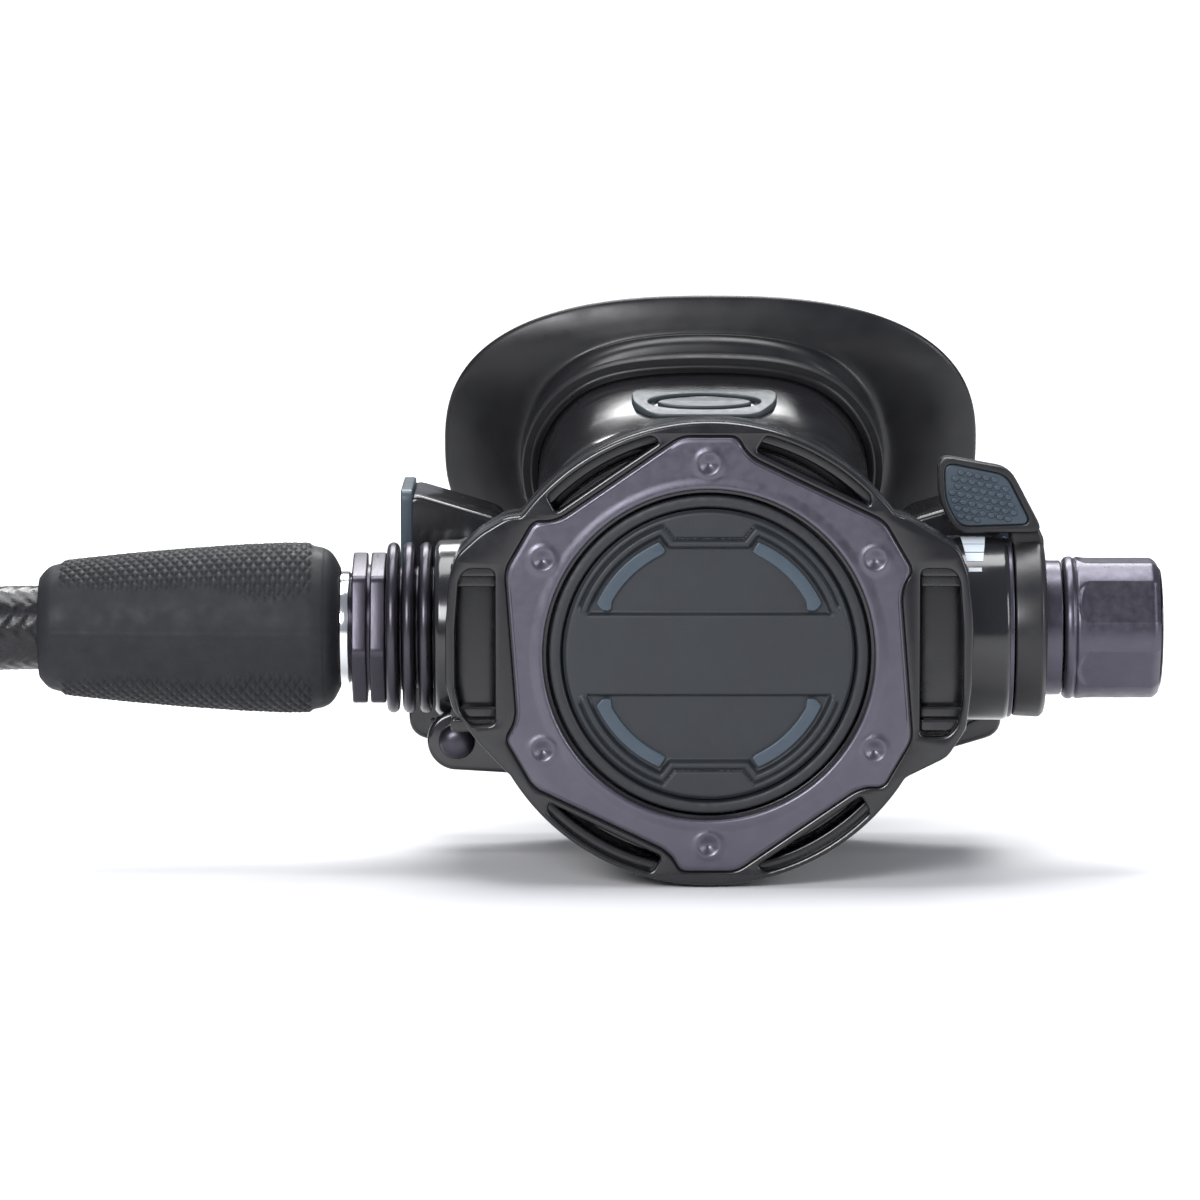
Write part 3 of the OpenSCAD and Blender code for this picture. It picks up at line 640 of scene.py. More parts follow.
def make_hose():
    around_count = 96
    path, length = smooth_route(hose_route(), 0.42)
    tangents = np.gradient(path, axis=0)
    tangents /= np.linalg.norm(tangents, axis=1)[:, None]
    up = np.array([0.0, 0.0, 1.0])
    sides = np.cross(up, tangents)
    sides /= np.linalg.norm(sides, axis=1)[:, None]
    ups = np.cross(tangents, sides)
    angles = turns(around_count)
    along = np.linspace(0, length, len(path))
    height = braid_height(along[:, None], angles[None, :])
    radius = HOSE_D / 2 - BRAID_DEPTH * (1 - height)
    points = (
        path[:, None, :]
        + radius[:, :, None] * (np.cos(angles)[None, :, None] * sides[:, None, :])
        + radius[:, :, None] * (np.sin(angles)[None, :, None] * ups[:, None, :])
    )
    rows = len(path)
    faces = grid_faces(rows, around_count)
    faces += [ring_cap(0, around_count), ring_cap((rows - 1) * around_count, around_count)]
    mesh = mesh_of("braided_hose", place_array(points.reshape(-1, 3)), faces)
    piece = finish_mesh("braided_hose", mesh, "case", 60, ("hose_run", "hose_coil", "hose_tail"),
                        "hose_braid")
    return piece, place_array(path[::6]), length


hose, hose_path, hose_length = make_hose()

# Cover, trim ring and purge button. Outlines are (x, z) from the cover's middle.

COVER_R = 31.5
COVER_BACK = COVER_FRONT + 12
TRIM_T = COVER_FRONT - (span("trim_ring")[0].y - VY)
TRIM_FLAT = 29.4
TRIM_NOTCH = TRIM_FLAT - 2.4
FLAT_HALF = 7.3
NOTCH_AT = 12.6
PURGE_R = 21.6
FACE_R = PURGE_R - 1.8


def polar(radius, degrees):
    return (radius * math.cos(math.radians(degrees)), radius * math.sin(math.radians(degrees)))


def trim_corners(grow):
    """Six flats, each followed clockwise by a rounded notch."""
    corner = (TRIM_FLAT + grow) / math.cos(math.radians(FLAT_HALF))
    points = []
    for k in range(6):
        a = 90 - 60 * k
        points += [
            polar(corner, a + FLAT_HALF),
            polar(corner, a - FLAT_HALF),
            polar(TRIM_NOTCH + 0.9 + grow, a - FLAT_HALF - 2.6),
            polar(TRIM_NOTCH + grow, a - NOTCH_AT - 0.6),
        ]
    return points


def trim_outline(grow, radius=1.3):
    return rounded(trim_corners(grow), radius, 5)


LEFT_EAR = [(-27.3, 18.6), (-30.9, 16.4), (-34.0, 13.6), (-35.0, 11.0), (-35.6, 4.0), (-35.6, -4.0),
            (-34.6, -7.6), (-32.9, -9.6), (-31.4, -11.8), (-27.4, -16.0)]
RIGHT_EAR = [(26.8, 18.4), (33.9, 14.2), (35.1, 11.0), (35.8, 4.0), (35.6, -4.0), (34.8, -10.2),
             (32.3, -14.0), (26.6, -16.8)]


def cover_outline():
    """The round cover with its two ears, clockwise from the right ear's top."""
    points = list(RIGHT_EAR)
    start = math.degrees(math.atan2(RIGHT_EAR[-1][1], RIGHT_EAR[-1][0]))
    points += arc(0, 0, COVER_R, start - 2, -90 - (90 + start) - 1, 60)
    points += list(reversed(LEFT_EAR))
    points += arc(0, 0, COVER_R, 143.5, 36.5, 60)
    return points


def side_window(side):
    """The tall window in an ear, between the trim's edge and the ear's wall."""
    inner = 28.9 if side < 0 else 28.6
    outer = 34.3 if side < 0 else 34.4
    low = -9.6 if side < 0 else -11.2
    points = [(inner, 11.6), (outer - 1.6, 11.6), (outer - 0.5, 10.2), (outer, 3.5), (outer, low + 5),
              (outer - 0.8, low + 1.5), (outer - 2.2, low), (inner, low)]
    return rounded([(side * x, z) for x, z in points], 1.0, 4)


def rim_window(middle_angle):
    """A long window between the trim's edge and the rim, narrowing at its ends."""
    inner = []
    for a in np.linspace(-17, 17, 15):
        inner.append(polar(line_radius(middle_angle + a) + 1.25, middle_angle + a))
    outer = [polar(COVER_R - 0.9, middle_angle + a) for a in np.linspace(15.5, -15.5, 15)]
    return rounded(inner + outer, 0.5, 3)


def line_radius(degrees):
    """Distance of the trim's edge from the middle in a direction."""
    corners = trim_corners(0)
    direction = Vector(polar(1, degrees))
    best = 0.0
    for i, start in enumerate(corners):
        a = Vector(start)
        b = Vector(corners[(i + 1) % len(corners)])
        edge = b - a
        denominator = direction.x * edge.y - direction.y * edge.x
        if abs(denominator) < 1e-9:
            continue
        distance = (a.x * edge.y - a.y * edge.x) / denominator
        along = (a.x * direction.y - a.y * direction.x) / denominator
        if distance > 0 and -1e-6 <= along <= 1 + 1e-6:
            best = max(best, distance)
    return best


def make_front_cover():
    plate_back = COVER_FRONT + 2.5
    seat = rounded(trim_corners(0.12), 1.3, 5)
    windows = [rim_window(a) for a in (60, 120, 240, 300)] + [side_window(-1), side_window(1)]
    outline = rounded(cover_outline(), 0.8, 2)
    # The front: a raised border round the sunk seat of the trim ring
    front = flat_plate("cover_front", [outline, *windows, seat], plate_back, COVER_FRONT - 0.35, 0.45,
                       resolution=3)
    floor = flat_plate("cover_floor", [trim_outline(0.9), arc(0, 0, PURGE_R + 0.35, 0, 357, 120)],
                       plate_back, COVER_FRONT - 0.02, 0.1)
    # The skirt behind it: round wall and the ears' walls
    skirt = flat_plate("cover_skirt", [outline, cover_hollow()], COVER_BACK, plate_back - 0.6, 0.3)
    ledge = flat_plate("cover_ledge", [arc(0, 0, COVER_R - 0.4, 0, 357, 120), arc(0, 0, 27.0, 0, 357, 120)],
                       plate_back + 8.6, plate_back + 7.5, 0.3)
    ribs = [ear_rib(side, z, depth) for side in (-1, 1)
            for z, depth in ((-9.8, 1.2), (-8.2, 2.4), (11.3, 1.2), (9.8, 2.4), (0.8, 4.5))]
    mesh = joined("front_cover_shell", [front, floor, skirt, ledge, *ribs])
    finish_mesh("front_cover_shell", mesh, "case", 40, "front_cover", "black_plastic")


def cover_hollow():
    """The skirt's hollow: round, with a pocket in each ear."""
    r = COVER_R - 2.2
    left = [(-34.0, 12.0), (-34.7, 9.5), (-34.7, -5.5), (-33.9, -9.0), (-32.2, -10.6)]
    right = [(33.6, -12.0), (34.6, -9.0), (34.8, 9.5), (33.8, 12.2)]
    return arc(0, 0, r, 25, 155, 70) + left + arc(0, 0, r, 202, 336, 70) + right


def ear_rib(side, z, depth):
    """A stepped ledge seen inside an ear's window."""
    half = 9.2 if depth > 4 else 0.9
    outline = [(side * 28.6, z - half), (side * 34.9, z - half), (side * 34.9, z + half),
               (side * 28.6, z + half)]
    return flat_plate("ear_rib", [rounded(outline, 0.5, 3)], COVER_FRONT + depth + 3,
                      COVER_FRONT + depth, 0.3)


def make_trim_ring():
    """A pressed plate: rolled inner lip, flat land, six dimples and a rounded edge."""
    angles = np.unique(np.concatenate([
        np.arange(0, 360, 0.5),
        [90 - 60 * k + d for k in range(6) for d in (FLAT_HALF, -FLAT_HALF, -FLAT_HALF - 2.6,
                                                     -NOTCH_AT - 0.6)],
    ]) % 360)
    outline = trim_outline(0)
    outer = outline_radius(outline, angles)
    inner = PURGE_R + 0.75
    lip_width = 1.5
    fractions = np.linspace(0, 1, 44)
    front = COVER_FRONT - TRIM_T
    rows = []
    radians = np.radians(angles)
    # From the back of the inner lip, over it, across the land and over the outer edge
    for sweep in np.linspace(-90, 90, 9):
        r = inner + 0.55 - 0.55 * math.cos(math.radians(sweep))
        y = front + 0.55 - 0.75 * math.sin(math.radians(sweep))
        rows.append((np.full_like(angles, r), np.full_like(angles, y)))
    for f in fractions[1:-1]:
        start = inner + 0.55
        r = start + (outer - 0.35 - start) * f
        depth = r - start
        roll = np.where(depth < lip_width,
                        0.2 * np.cos(np.clip(depth / lip_width, 0, 1) * math.pi / 2) ** 2, 0)
        dip = dimple_depth(r, angles)
        fall = 0.16 * np.clip((r - 27.2) / 2.4, 0, 1) ** 2
        rows.append((r, front - roll + dip + fall))
    for sweep in np.linspace(0, 90, 6):
        r = outer - 0.35 + 0.35 * math.sin(math.radians(sweep))
        y = front + 0.16 + 0.35 * (1 - math.cos(math.radians(sweep)))
        rows.append((r, np.full_like(angles, y)))
    rows.append((outer, np.full_like(angles, COVER_FRONT + 0.1)))
    rings = [np.stack([r * np.cos(radians), y, r * np.sin(radians)], 1) for r, y in rows]
    mesh = rings_mesh("trim_plate", rings, "loop")
    finish_mesh("trim_plate", mesh, "case", 40, "trim_ring", "trim_metal")


DIMPLE_R = 25.9


def dimple_depth(r, degrees):
    """Depth of the pressed dimples: a small cup in a raised collar."""
    total = np.zeros_like(r)
    for k in range(6):
        cx, cz = polar(DIMPLE_R, 90 + 60 * k)
        x = r * np.cos(np.radians(degrees)) - cx
        z = r * np.sin(np.radians(degrees)) - cz
        far = np.sqrt(x**2 + z**2)
        total += 0.55 * np.exp(-((far / 0.85) ** 2)) - 0.2 * np.exp(-(((far - 1.55) / 0.5) ** 2))
    return total


def outline_radius(outline, degrees):
    """Distance of a closed outline from the middle in each direction."""
    corners = np.array(outline)
    ends = np.roll(corners, -1, axis=0)
    parts = np.linspace(0, 1, 40, endpoint=False)[None, :, None]
    points = (corners[:, None, :] * (1 - parts) + ends[:, None, :] * parts).reshape(-1, 2)
    found = np.degrees(np.arctan2(points[:, 1], points[:, 0])) % 360
    radius = np.hypot(points[:, 0], points[:, 1])
    order = np.argsort(found)
    found, radius = found[order], radius[order]
    return np.interp(degrees, found, radius, period=360)


make_front_cover()
make_trim_ring()


# Purge button: a grained outer ring and a stepped face


def step(distance, width=0.22):
    """A soft step from 0 to 1 as distance passes zero."""
    return 0.5 + 0.5 * np.tanh(distance / width)


def band(distance, half):
    """1 where a distance lies within half of zero."""
    return step(half - np.abs(distance), 0.12)


BAR_HALF = 5.45
POCKET_R = 17.4


def pocket_distance(x, z):
    """Signed distance into the upper and lower pockets, positive inside."""
    up = np.abs(z)
    radial = POCKET_R - np.hypot(x, z)
    above_bar = up - BAR_HALF
    # The tab from the outer ring closes the pocket's middle along a level edge and two slants
    level = 14.5 - up
    slant = (np.abs(x) - 5.3) * 0.78 + (14.5 - up) * 0.62
    tab = np.maximum(level, slant)
    return np.minimum(np.minimum(radial, above_bar), tab)


def face_height(x, z):
    """How far the button's face stands out, in millimetres from its lowest level."""
    inside = pocket_distance(x, z)
    r = np.hypot(x, z)
    plain = 1.0
    floor = 0.35
    height = plain + (floor - plain) * step(inside - 0.05, 0.16)
    lip_out = band(inside + 0.55, 0.36) * step(np.abs(z) - BAR_HALF - 0.35, 0.15)
    height += 0.28 * lip_out
    height -= 0.3 * band(inside + 1.25, 0.14) * step(np.abs(z) - BAR_HALF - 1.0, 0.15)
    # A round shoulder at the rim and a gentle crown
    height -= 0.45 * step(r - (FACE_R - 0.35), 0.2)
    return height - 0.25 * (r / FACE_R) ** 2


def make_purge_face():
    angles = np.radians(np.arange(0, 360, 0.6))
    radii = np.linspace(0.4, FACE_R - 0.12, 150)
    rings = []
    for r in radii[::-1]:
        x, z = r * np.cos(angles), r * np.sin(angles)
        rings.append(np.stack([x, COVER_FRONT + 0.35 - face_height(x, z), z], 1))
    edge = rings[0].copy()
    edge[:, 1] = COVER_FRONT + 1.1
    mesh = rings_mesh("purge_plate", [edge, *rings], "ends")
    finish_mesh("purge_plate", mesh, "purge", 50, "purge_face", "purge_plate")


def make_purge_ring():
    groove = FACE_R + 0.1
    profile = rounded([
        (COVER_FRONT + 2.2, PURGE_R), (COVER_FRONT - 0.45, PURGE_R), (COVER_FRONT - 0.62, PURGE_R - 0.8),
        (COVER_FRONT - 0.5, groove + 0.2), (COVER_FRONT + 0.6, groove), (COVER_FRONT + 1.2, groove - 1.5),
        (COVER_FRONT + 2.2, groove - 1.5),
    ], 0.4, 4)
    ring = on_cover("ring", profile, 200)
    flange = on_cover("flange", rounded([
        (COVER_FRONT + 2.75, 9.0), (COVER_FRONT + 2.75, 23.6), (COVER_FRONT + 3.3, 23.6),
        (COVER_FRONT + 3.3, 9.0),
    ], 0.2, 2), 120)
    skirt = on_cover("skirt", rounded([
        (COVER_FRONT + 2.0, 17.6), (COVER_FRONT + 2.0, 21.5), (COVER_FRONT + 3.0, 21.5),
        (COVER_FRONT + 3.0, 17.6),
    ], 0.2, 2), 120)
    boss = on_cover("boss", rounded([
        (COVER_FRONT + 1.2, 2.0), (COVER_FRONT + 1.2, 18.5), (COVER_FRONT + 1.9, 18.5),
        (COVER_FRONT + 2.1, 5.4),
        (COVER_FRONT + 5.5, 4.8), (COVER_FRONT + 5.5, 2.0),
    ], 0.3, 3), 96)
    mesh = joined("purge_outer_ring", [ring, flange, skirt, boss])
    finish_mesh("purge_outer_ring", mesh, "purge", 50, "purge_button", "purge_outer")


def accent_outline(quadrant):
    """One arc strip with slanted, rounded ends: low end level, high end cut square."""
    inner, outer = 14.95, 16.75
    points = arc(0, 0, outer, 24.5, 66.5, 24)
    points += [polar(inner + 0.2, 67.5)]
    points += arc(0, 0, inner, 64.0, 29.0, 24)
    points += [(polar(inner, 26)[0] - 0.2, 5.95), (polar(outer, 24)[0] - 0.9, 5.95)]
    flip_x = -1 if quadrant in (1, 2) else 1
    flip_z = -1 if quadrant in (2, 3) else 1
    return rounded([(flip_x * x, flip_z * z) for x, z in points], 0.35, 3)


def make_accents():
    plates = [
        flat_plate("accent", [accent_outline(k)], COVER_FRONT + 0.6, COVER_FRONT - 0.42, 0.22, resolution=3)
        for k in range(4)
    ]
    mesh = joined("accent_strips", plates)
    finish_mesh("accent_strips", mesh, "purge", 50, "purge_accents", "slate_accent")


def make_return_spring():
    """The button's return spring as a flat winding behind it, clear of the button at rest. It has
    one shape at every pose, and the fully pressed button's flange passes through it."""
    wire = 0.28
    inner = 7
    widening = 0.29
    windings = 2.5
    middle_depth = COVER_FRONT + 5.28
    round_wire = turns(12)
    rings = []
    for t in np.linspace(0, windings * 2 * math.pi, 160):
        r = inner + widening * t + wire * np.cos(round_wire)
        depth = middle_depth + wire * np.sin(round_wire)
        rings.append(np.stack([r * math.cos(t), depth, r * math.sin(t)], 1))
    mesh = rings_mesh("return_spring", rings, "ends")
    finish_mesh("return_spring", mesh, "case", 60, "purge_spring", "spring_steel")


make_purge_face()
make_purge_ring()
make_accents()
make_return_spring()

# Hose end on the valve's axis: inlet fins, swivel nut, ferrule and rubber protector

FIN_X = (-38.6, -40.9, -43.1)
FIN_R = 11.75
NUT_FROM = -48.7
PROTECTOR_TO = -91.8
PROTECTOR_FROM = -50.4
TUBE_R = 12.7


def make_inlet():
    profile = [(-36.7, 7.0), (-36.7, 10.6), (-37.3, 10.6), (-37.3, 8.4)]
    for x in FIN_X:
        profile += [(x + 0.86, 8.4), (x + 0.84, FIN_R - 0.5), (x + 0.34, FIN_R), (x - 0.34, FIN_R),
                    (x - 0.84, FIN_R - 0.5), (x - 0.86, 8.4)]
    profile += [(-44.1, 6.2), (-47.0, 6.2), (-47.0, 3.0), (-30.2, 3.0), (-30.2, 7.0)]
    mesh = on_valve("inlet_fins", rounded(profile, 0.42, 5), 160)
    finish_mesh("inlet_fins", mesh, "case", 50, "inlet_fitting", "gunmetal")


def along_valve(x0):
    """Turns a flat plate's own (x, y, z) to lie across the valve's axis from x0."""
    return lambda x, y, z: (x0 + y, x, VZ + z)


def hexagon(across, turn):
    return [polar(across / 2 / math.cos(math.radians(30)), 60 * k + turn) for k in range(6)]


def make_nut():
    bore = arc(0, 0, 6.1, 0, 354, 60)
    rings = [
        flat_plate("hex", [rounded(hexagon(18.6, 14), 0.9, 4), bore], high, low, 0.32, along_valve(0), 3)
        for low, high in ((NUT_FROM, NUT_FROM + 2.1), (NUT_FROM + 2.5, -44.05))
    ]
    core = on_valve("core", [(NUT_FROM + 0.2, 6.1), (NUT_FROM + 0.2, 8.7), (-44.1, 8.7), (-44.1, 6.1)], 96)
    mesh = joined("swivel_nut", [*rings, core])
    finish_mesh("swivel_nut", mesh, "case", 40, "hose_swivel_nut", "gunmetal")


def make_ferrule():
    profile = rounded([
        (NUT_FROM - 0.03, 5.2), (NUT_FROM - 0.03, 7.3), (NUT_FROM - 0.5, 7.75), (NUT_FROM - 1.7, 7.75),
        (NUT_FROM - 1.85, 7.45), (NUT_FROM - 2.0, 7.75), (-53.3, 7.75), (-53.3, 5.3),
    ], 0.16, 3)
    mesh = on_valve("crimped_ferrule", profile, 120)
    finish_mesh("crimped_ferrule", mesh, "case", 50, "hose_ferrule", "ferrule_chrome")


GRIP_PROFILE = [(0.0, 7.0), (0.5, 8.1), (1.8, 8.75), (5, 9.15), (12, 9.9), (20, 10.6), (28, 11.15),
                (34, 11.4), (37.7, 11.35), (39.8, 10.9), (41.0, 9.6), (41.4, 8.3)]
KNURL_PITCH = 1.35
KNURL_RADIUS = 9.9
KNURL_SLANT = 0.62


def grip_radius(x):
    """The protector's radius at x millimetres from its far end."""
    return np.interp(x, *zip(*GRIP_PROFILE))


def knurl_mask(x, angle):
    """Where the raised diamond panels are: on top and underneath, with a wavy lower border."""
    facing_up = np.abs(np.cos(angle))
    border = 0.62 - 0.16 * np.exp(-(((x - 30) / 6.5) ** 2)) + 0.04 * np.sin(x / 3.2)
    border = np.where(x < 8, border + (8 - x) * 0.02, border)
    inside = np.clip((facing_up - border) * 10, -4, 4)
    ends = np.minimum(x - 3.2, 37.4 - x)
    return step(inside, 0.5) * step(ends, 0.25)


def make_protector():
    xs = np.concatenate([np.linspace(0, 2.4, 8, endpoint=False), np.arange(2.4, 39.2, 0.17),
                         np.linspace(39.2, 41.4, 10)])
    angles = turns(420)
    base = grip_radius(xs)
    # Smooths the profile's corners
    for _ in range(12):
        base[1:-1] = (base[:-2] + 2 * base[1:-1] + base[2:]) / 4
    x, a = np.meshgrid(xs, angles, indexing="ij")
    radius = np.repeat(base[:, None], len(angles), 1)
    around = a * KNURL_RADIUS
    u = (x + around * KNURL_SLANT) / KNURL_PITCH
    v = (x - around * KNURL_SLANT) / KNURL_PITCH
    relief = 0.3 * step(0.72 - np.maximum(np.abs(((u % 1) - 0.5) * 2), np.abs(((v % 1) - 0.5) * 2)), 0.16)
    mask = knurl_mask(x, a)
    radius += mask * (0.12 + relief) - 0.06
    mould_line = 0.06 * np.exp(-((np.abs(np.abs(np.sin(a)) - 1) / 0.0006) ** 2)) * step(x - 1.5, 0.3)
    radius += mould_line
    rings = [valve_ring(PROTECTOR_TO + xs[i], radius[i], angles) for i in range(len(xs))]
    inner = [valve_ring(PROTECTOR_FROM - 0.02, 8.0, angles), valve_ring(PROTECTOR_FROM - 3, 7.9, angles),
             valve_ring(PROTECTOR_FROM - 3.2, 6.0, angles), valve_ring(PROTECTOR_TO, 6.0, angles)]
    mesh = rings_mesh("rubber_protector", rings + inner, "loop")
    finish_mesh("rubber_protector", mesh, "case", 70, "hose_protector", "grip_rubber")


make_inlet()
make_nut()
make_ferrule()
make_protector()

# Right end: boss, venturi lever and adjusting knob

BOSS_END = 41.8
RING_X = BOSS_END + 0.2
RING_WIDTH = 4.3
HUB_R = 9.3
KNOB_X = span("knob")[0].x - CX
KNOB_LENGTH = 13.5
KNOB_R = 9.8
KNOB_FLATS = 6


def make_knob():
    """A knob with scalloped flats that start in rounded noses, and a chamfered end."""
    xs = np.concatenate([[0.0, 0.05, 0.25, 0.6], np.linspace(1.0, 11.4, 60),
                         [11.7, 12.0, 12.3, 12.6, 12.9, 13.1]])
    angles = turns(480)
    x, a = np.meshgrid(xs, angles, indexing="ij")
    radius = np.full_like(x, KNOB_R)
    radius = np.where(x < 0.6, KNOB_R - 0.45 * (1 - np.clip(x / 0.6, 0, 1)) ** 2, radius)
    radius -= 0.28 * np.exp(-(((x - 1.5) / 0.22) ** 2))
    pitch = 2 * math.pi / KNOB_FLATS
    local = (a + math.radians(2) + pitch / 2) % pitch - pitch / 2
    across = np.abs(local) * KNOB_R
    nose = 1.9 + 0.9 * (across / 2.6) ** 2
    flat = (KNOB_R * math.cos(0.309) - 0.04) / np.cos(np.clip(local, -0.32, 0.32))
    cut = step(x - nose, 0.25) * step(3.05 - across, 0.12)
    radius = radius * (1 - cut) + np.minimum(radius, flat) * cut
    radius -= np.clip((x - 12.1) / 1.0, 0, 1) ** 1.5 * 0.75
    rings = [valve_ring(KNOB_X + xs[i], radius[i], angles) for i in range(len(xs))]
    inner = [valve_ring(KNOB_X + 13.1, 8.3, angles), valve_ring(KNOB_X + 12.7, 7.9, angles),
             valve_ring(KNOB_X + 4.9, 7.9, angles), valve_ring(KNOB_X + 4.9, 2.7, angles),
             valve_ring(KNOB_X, 2.7, angles)]
    mesh = rings_mesh("adjusting_knob", rings + inner, "loop")
    finish_mesh("adjusting_knob", mesh, "adjusting_knob", 40, "knob", "knob_metal")


def make_knob_cap():
    end = KNOB_X + KNOB_LENGTH
    profile = rounded([
        (end - 2.4, 0.3), (end - 2.4, 7.8), (end - 0.4, 7.85), (end - 0.28, 8.25), (end - 0.02, 8.1),
        (end - 0.2, 6.8), (end - 0.2, 0.3),
    ], 0.15, 3)
    mesh = on_valve("end_cap", profile, 120)
    finish_mesh("end_cap", mesh, "adjusting_knob", 40, "knob_cap", "black_plastic")


def make_barrel_nut():
    hub_end = RING_X + RING_WIDTH + 2.3
    profile = [(39.9, 7.0), (39.9, 12.3), (BOSS_END, 12.3), (BOSS_END, HUB_R), (hub_end, HUB_R - 0.05),
               (hub_end, 7.0)]
    mesh = on_valve("barrel_clamp_nut", rounded(profile, 0.22, 3), 140)
    finish_mesh("barrel_clamp_nut", mesh, "case", 45, "barrel_nut", "knob_metal")


PAD_Z = VZ + TUBE_R
PAD_INNER = [(-9.5, 10.3), (-1.0, 8.6), (2.5, 1.8), (-7.4, 1.5), (-9.3, 5.1)]
PAD_OUTER = [(-10.4, 11.3), (-0.4, 9.5), (4.3, 0.6), (-8.0, 0.6), (-10.2, 4.9)]


def pad_places(points):
    return [(RING_X + x, PAD_Z + z) for x, z in points]


def make_venturi_lever():
    ring = on_valve("ring", rounded([
        (RING_X, HUB_R + 0.12), (RING_X, 12.1), (RING_X + 3.7, 12.3), (RING_X + RING_WIDTH, 11.6),
        (RING_X + RING_WIDTH, HUB_R + 0.12),
    ], 0.35, 4), 160)
    arm = flat_plate("arm", [rounded([
        (RING_X + 0.05, VZ + 9.5), (RING_X + RING_WIDTH, VZ + 9.5), (RING_X + RING_WIDTH, PAD_Z - 0.3),
        (RING_X + 2.2, PAD_Z + 4.2), (RING_X - 1, PAD_Z + 4.2)], 0.6, 4)], 3.6, -2.0, 0.5)
    back = flat_plate("pad_back", [rounded(pad_places(PAD_OUTER), 2.0, 6)], 1.9, -2.1, 0.7, resolution=4)
    rim = flat_plate("pad_rim", [rounded(pad_places(PAD_OUTER), 2.0, 6),
                                 rounded(pad_places(PAD_INNER), 1.5, 6)], 0.0, -2.75, 0.28, resolution=3)
    mesh = joined("venturi_arm", [ring, arm, back, rim])
    finish_mesh("venturi_arm", mesh, "venturi", 45, "venturi_lever", "black_plastic", "satin")


def inside(point, outline):
    x, z = point
    hit = False
    for i, (ax, az) in enumerate(outline):
        bx, bz = outline[(i + 1) % len(outline)]
        if (az > z) != (bz > z) and x < (bx - ax) * (z - az) / (bz - az) + ax:
            hit = not hit
    return hit


def make_venturi_pad():
    """The thumb pad with its staggered rows of raised dots."""
    outline = rounded(pad_places(PAD_INNER), 1.5, 6)
    base = flat_plate("pad", [outline], -1.6, -2.55, 0.3, resolution=3)
    centre = (sum(x for x, _ in outline) / len(outline), sum(z for _, z in outline) / len(outline))
    margin = [(centre[0] + (x - centre[0]) * 0.84, centre[1] + (z - centre[1]) * 0.84) for x, z in outline]
    dots = []
    tilt = math.radians(-12)
    for row in range(-8, 9):
        for column in range(-8, 9):
            u = (column + 0.5 * (row % 2)) * 1.18
            v = row * 0.98
            x = centre[0] + u * math.cos(tilt) - v * math.sin(tilt)
            z = centre[1] + u * math.sin(tilt) + v * math.cos(tilt)
            if inside((x, z), margin):
                dots.append(flat_plate("dot", [[
                    (x + 0.5 * math.cos(t),
                     z + 0.42 * math.sin(t)) for t in turns(14)]], -2.4, -2.86, 0.16))
    mesh = joined("thumb_pad", [base, *dots])
    finish_mesh("thumb_pad", mesh, "venturi", 45, "venturi_pad", "slate_accent")


make_knob()
make_knob_cap()
make_barrel_nut()
make_venturi_lever()
make_venturi_pad()

# Case: a skin lofted from the round well to the oval neck, with a tube each side for the valve

NECK_TILT = math.radians(20)
NECK_Y = 5.0
NECK_Z = 6.5
NECK_HALF = (23.5, 15.5)


def on_neck(x, u, s):
    """A point s along the neck, x across it and u above its axis, in the case's millimetres."""
    c, n = math.cos(NECK_TILT), math.sin(NECK_TILT)
    return np.stack(np.broadcast_arrays(x, NECK_Y + s * c - u * n, NECK_Z + s * n + u * c), -1)


def oval_points(a, b, fullness, angles):
    """An oval between an ellipse and a slot: half width a, half height b."""
    across = np.tanh(fullness * np.cos(angles)) / math.tanh(fullness)
    return (a - b) * across + b * np.cos(angles), b * np.sin(angles)


def neck_ring(s, a, b, angles, fullness=3.0):
    x, u = oval_points(a, b, fullness, angles)
    return on_neck(x, u, s)


def tilted_ring(y, z, a, b, tilt, angles):
    """A ring centred at (y, z) whose plane leans by tilt degrees."""
    x, u = oval_points(a, b, 2.0, angles)
    lean = math.radians(tilt)
    return np.stack([x, y - u * math.sin(lean), z + u * math.cos(lean)], 1)


def spline_rings(rings, between):
    """More rings between the given ones, along smooth curves."""
    rings = np.array(rings)
    count = len(rings)
    result = []
    for i in range(count - 1):
        a, b, c, d = rings[max(i - 1, 0)], rings[i], rings[i + 1], rings[min(i + 2, count - 1)]
        for k in range(between):
            result.append(curve_through(a, b, c, d, k / between))
    result.append(rings[-1])
    return result


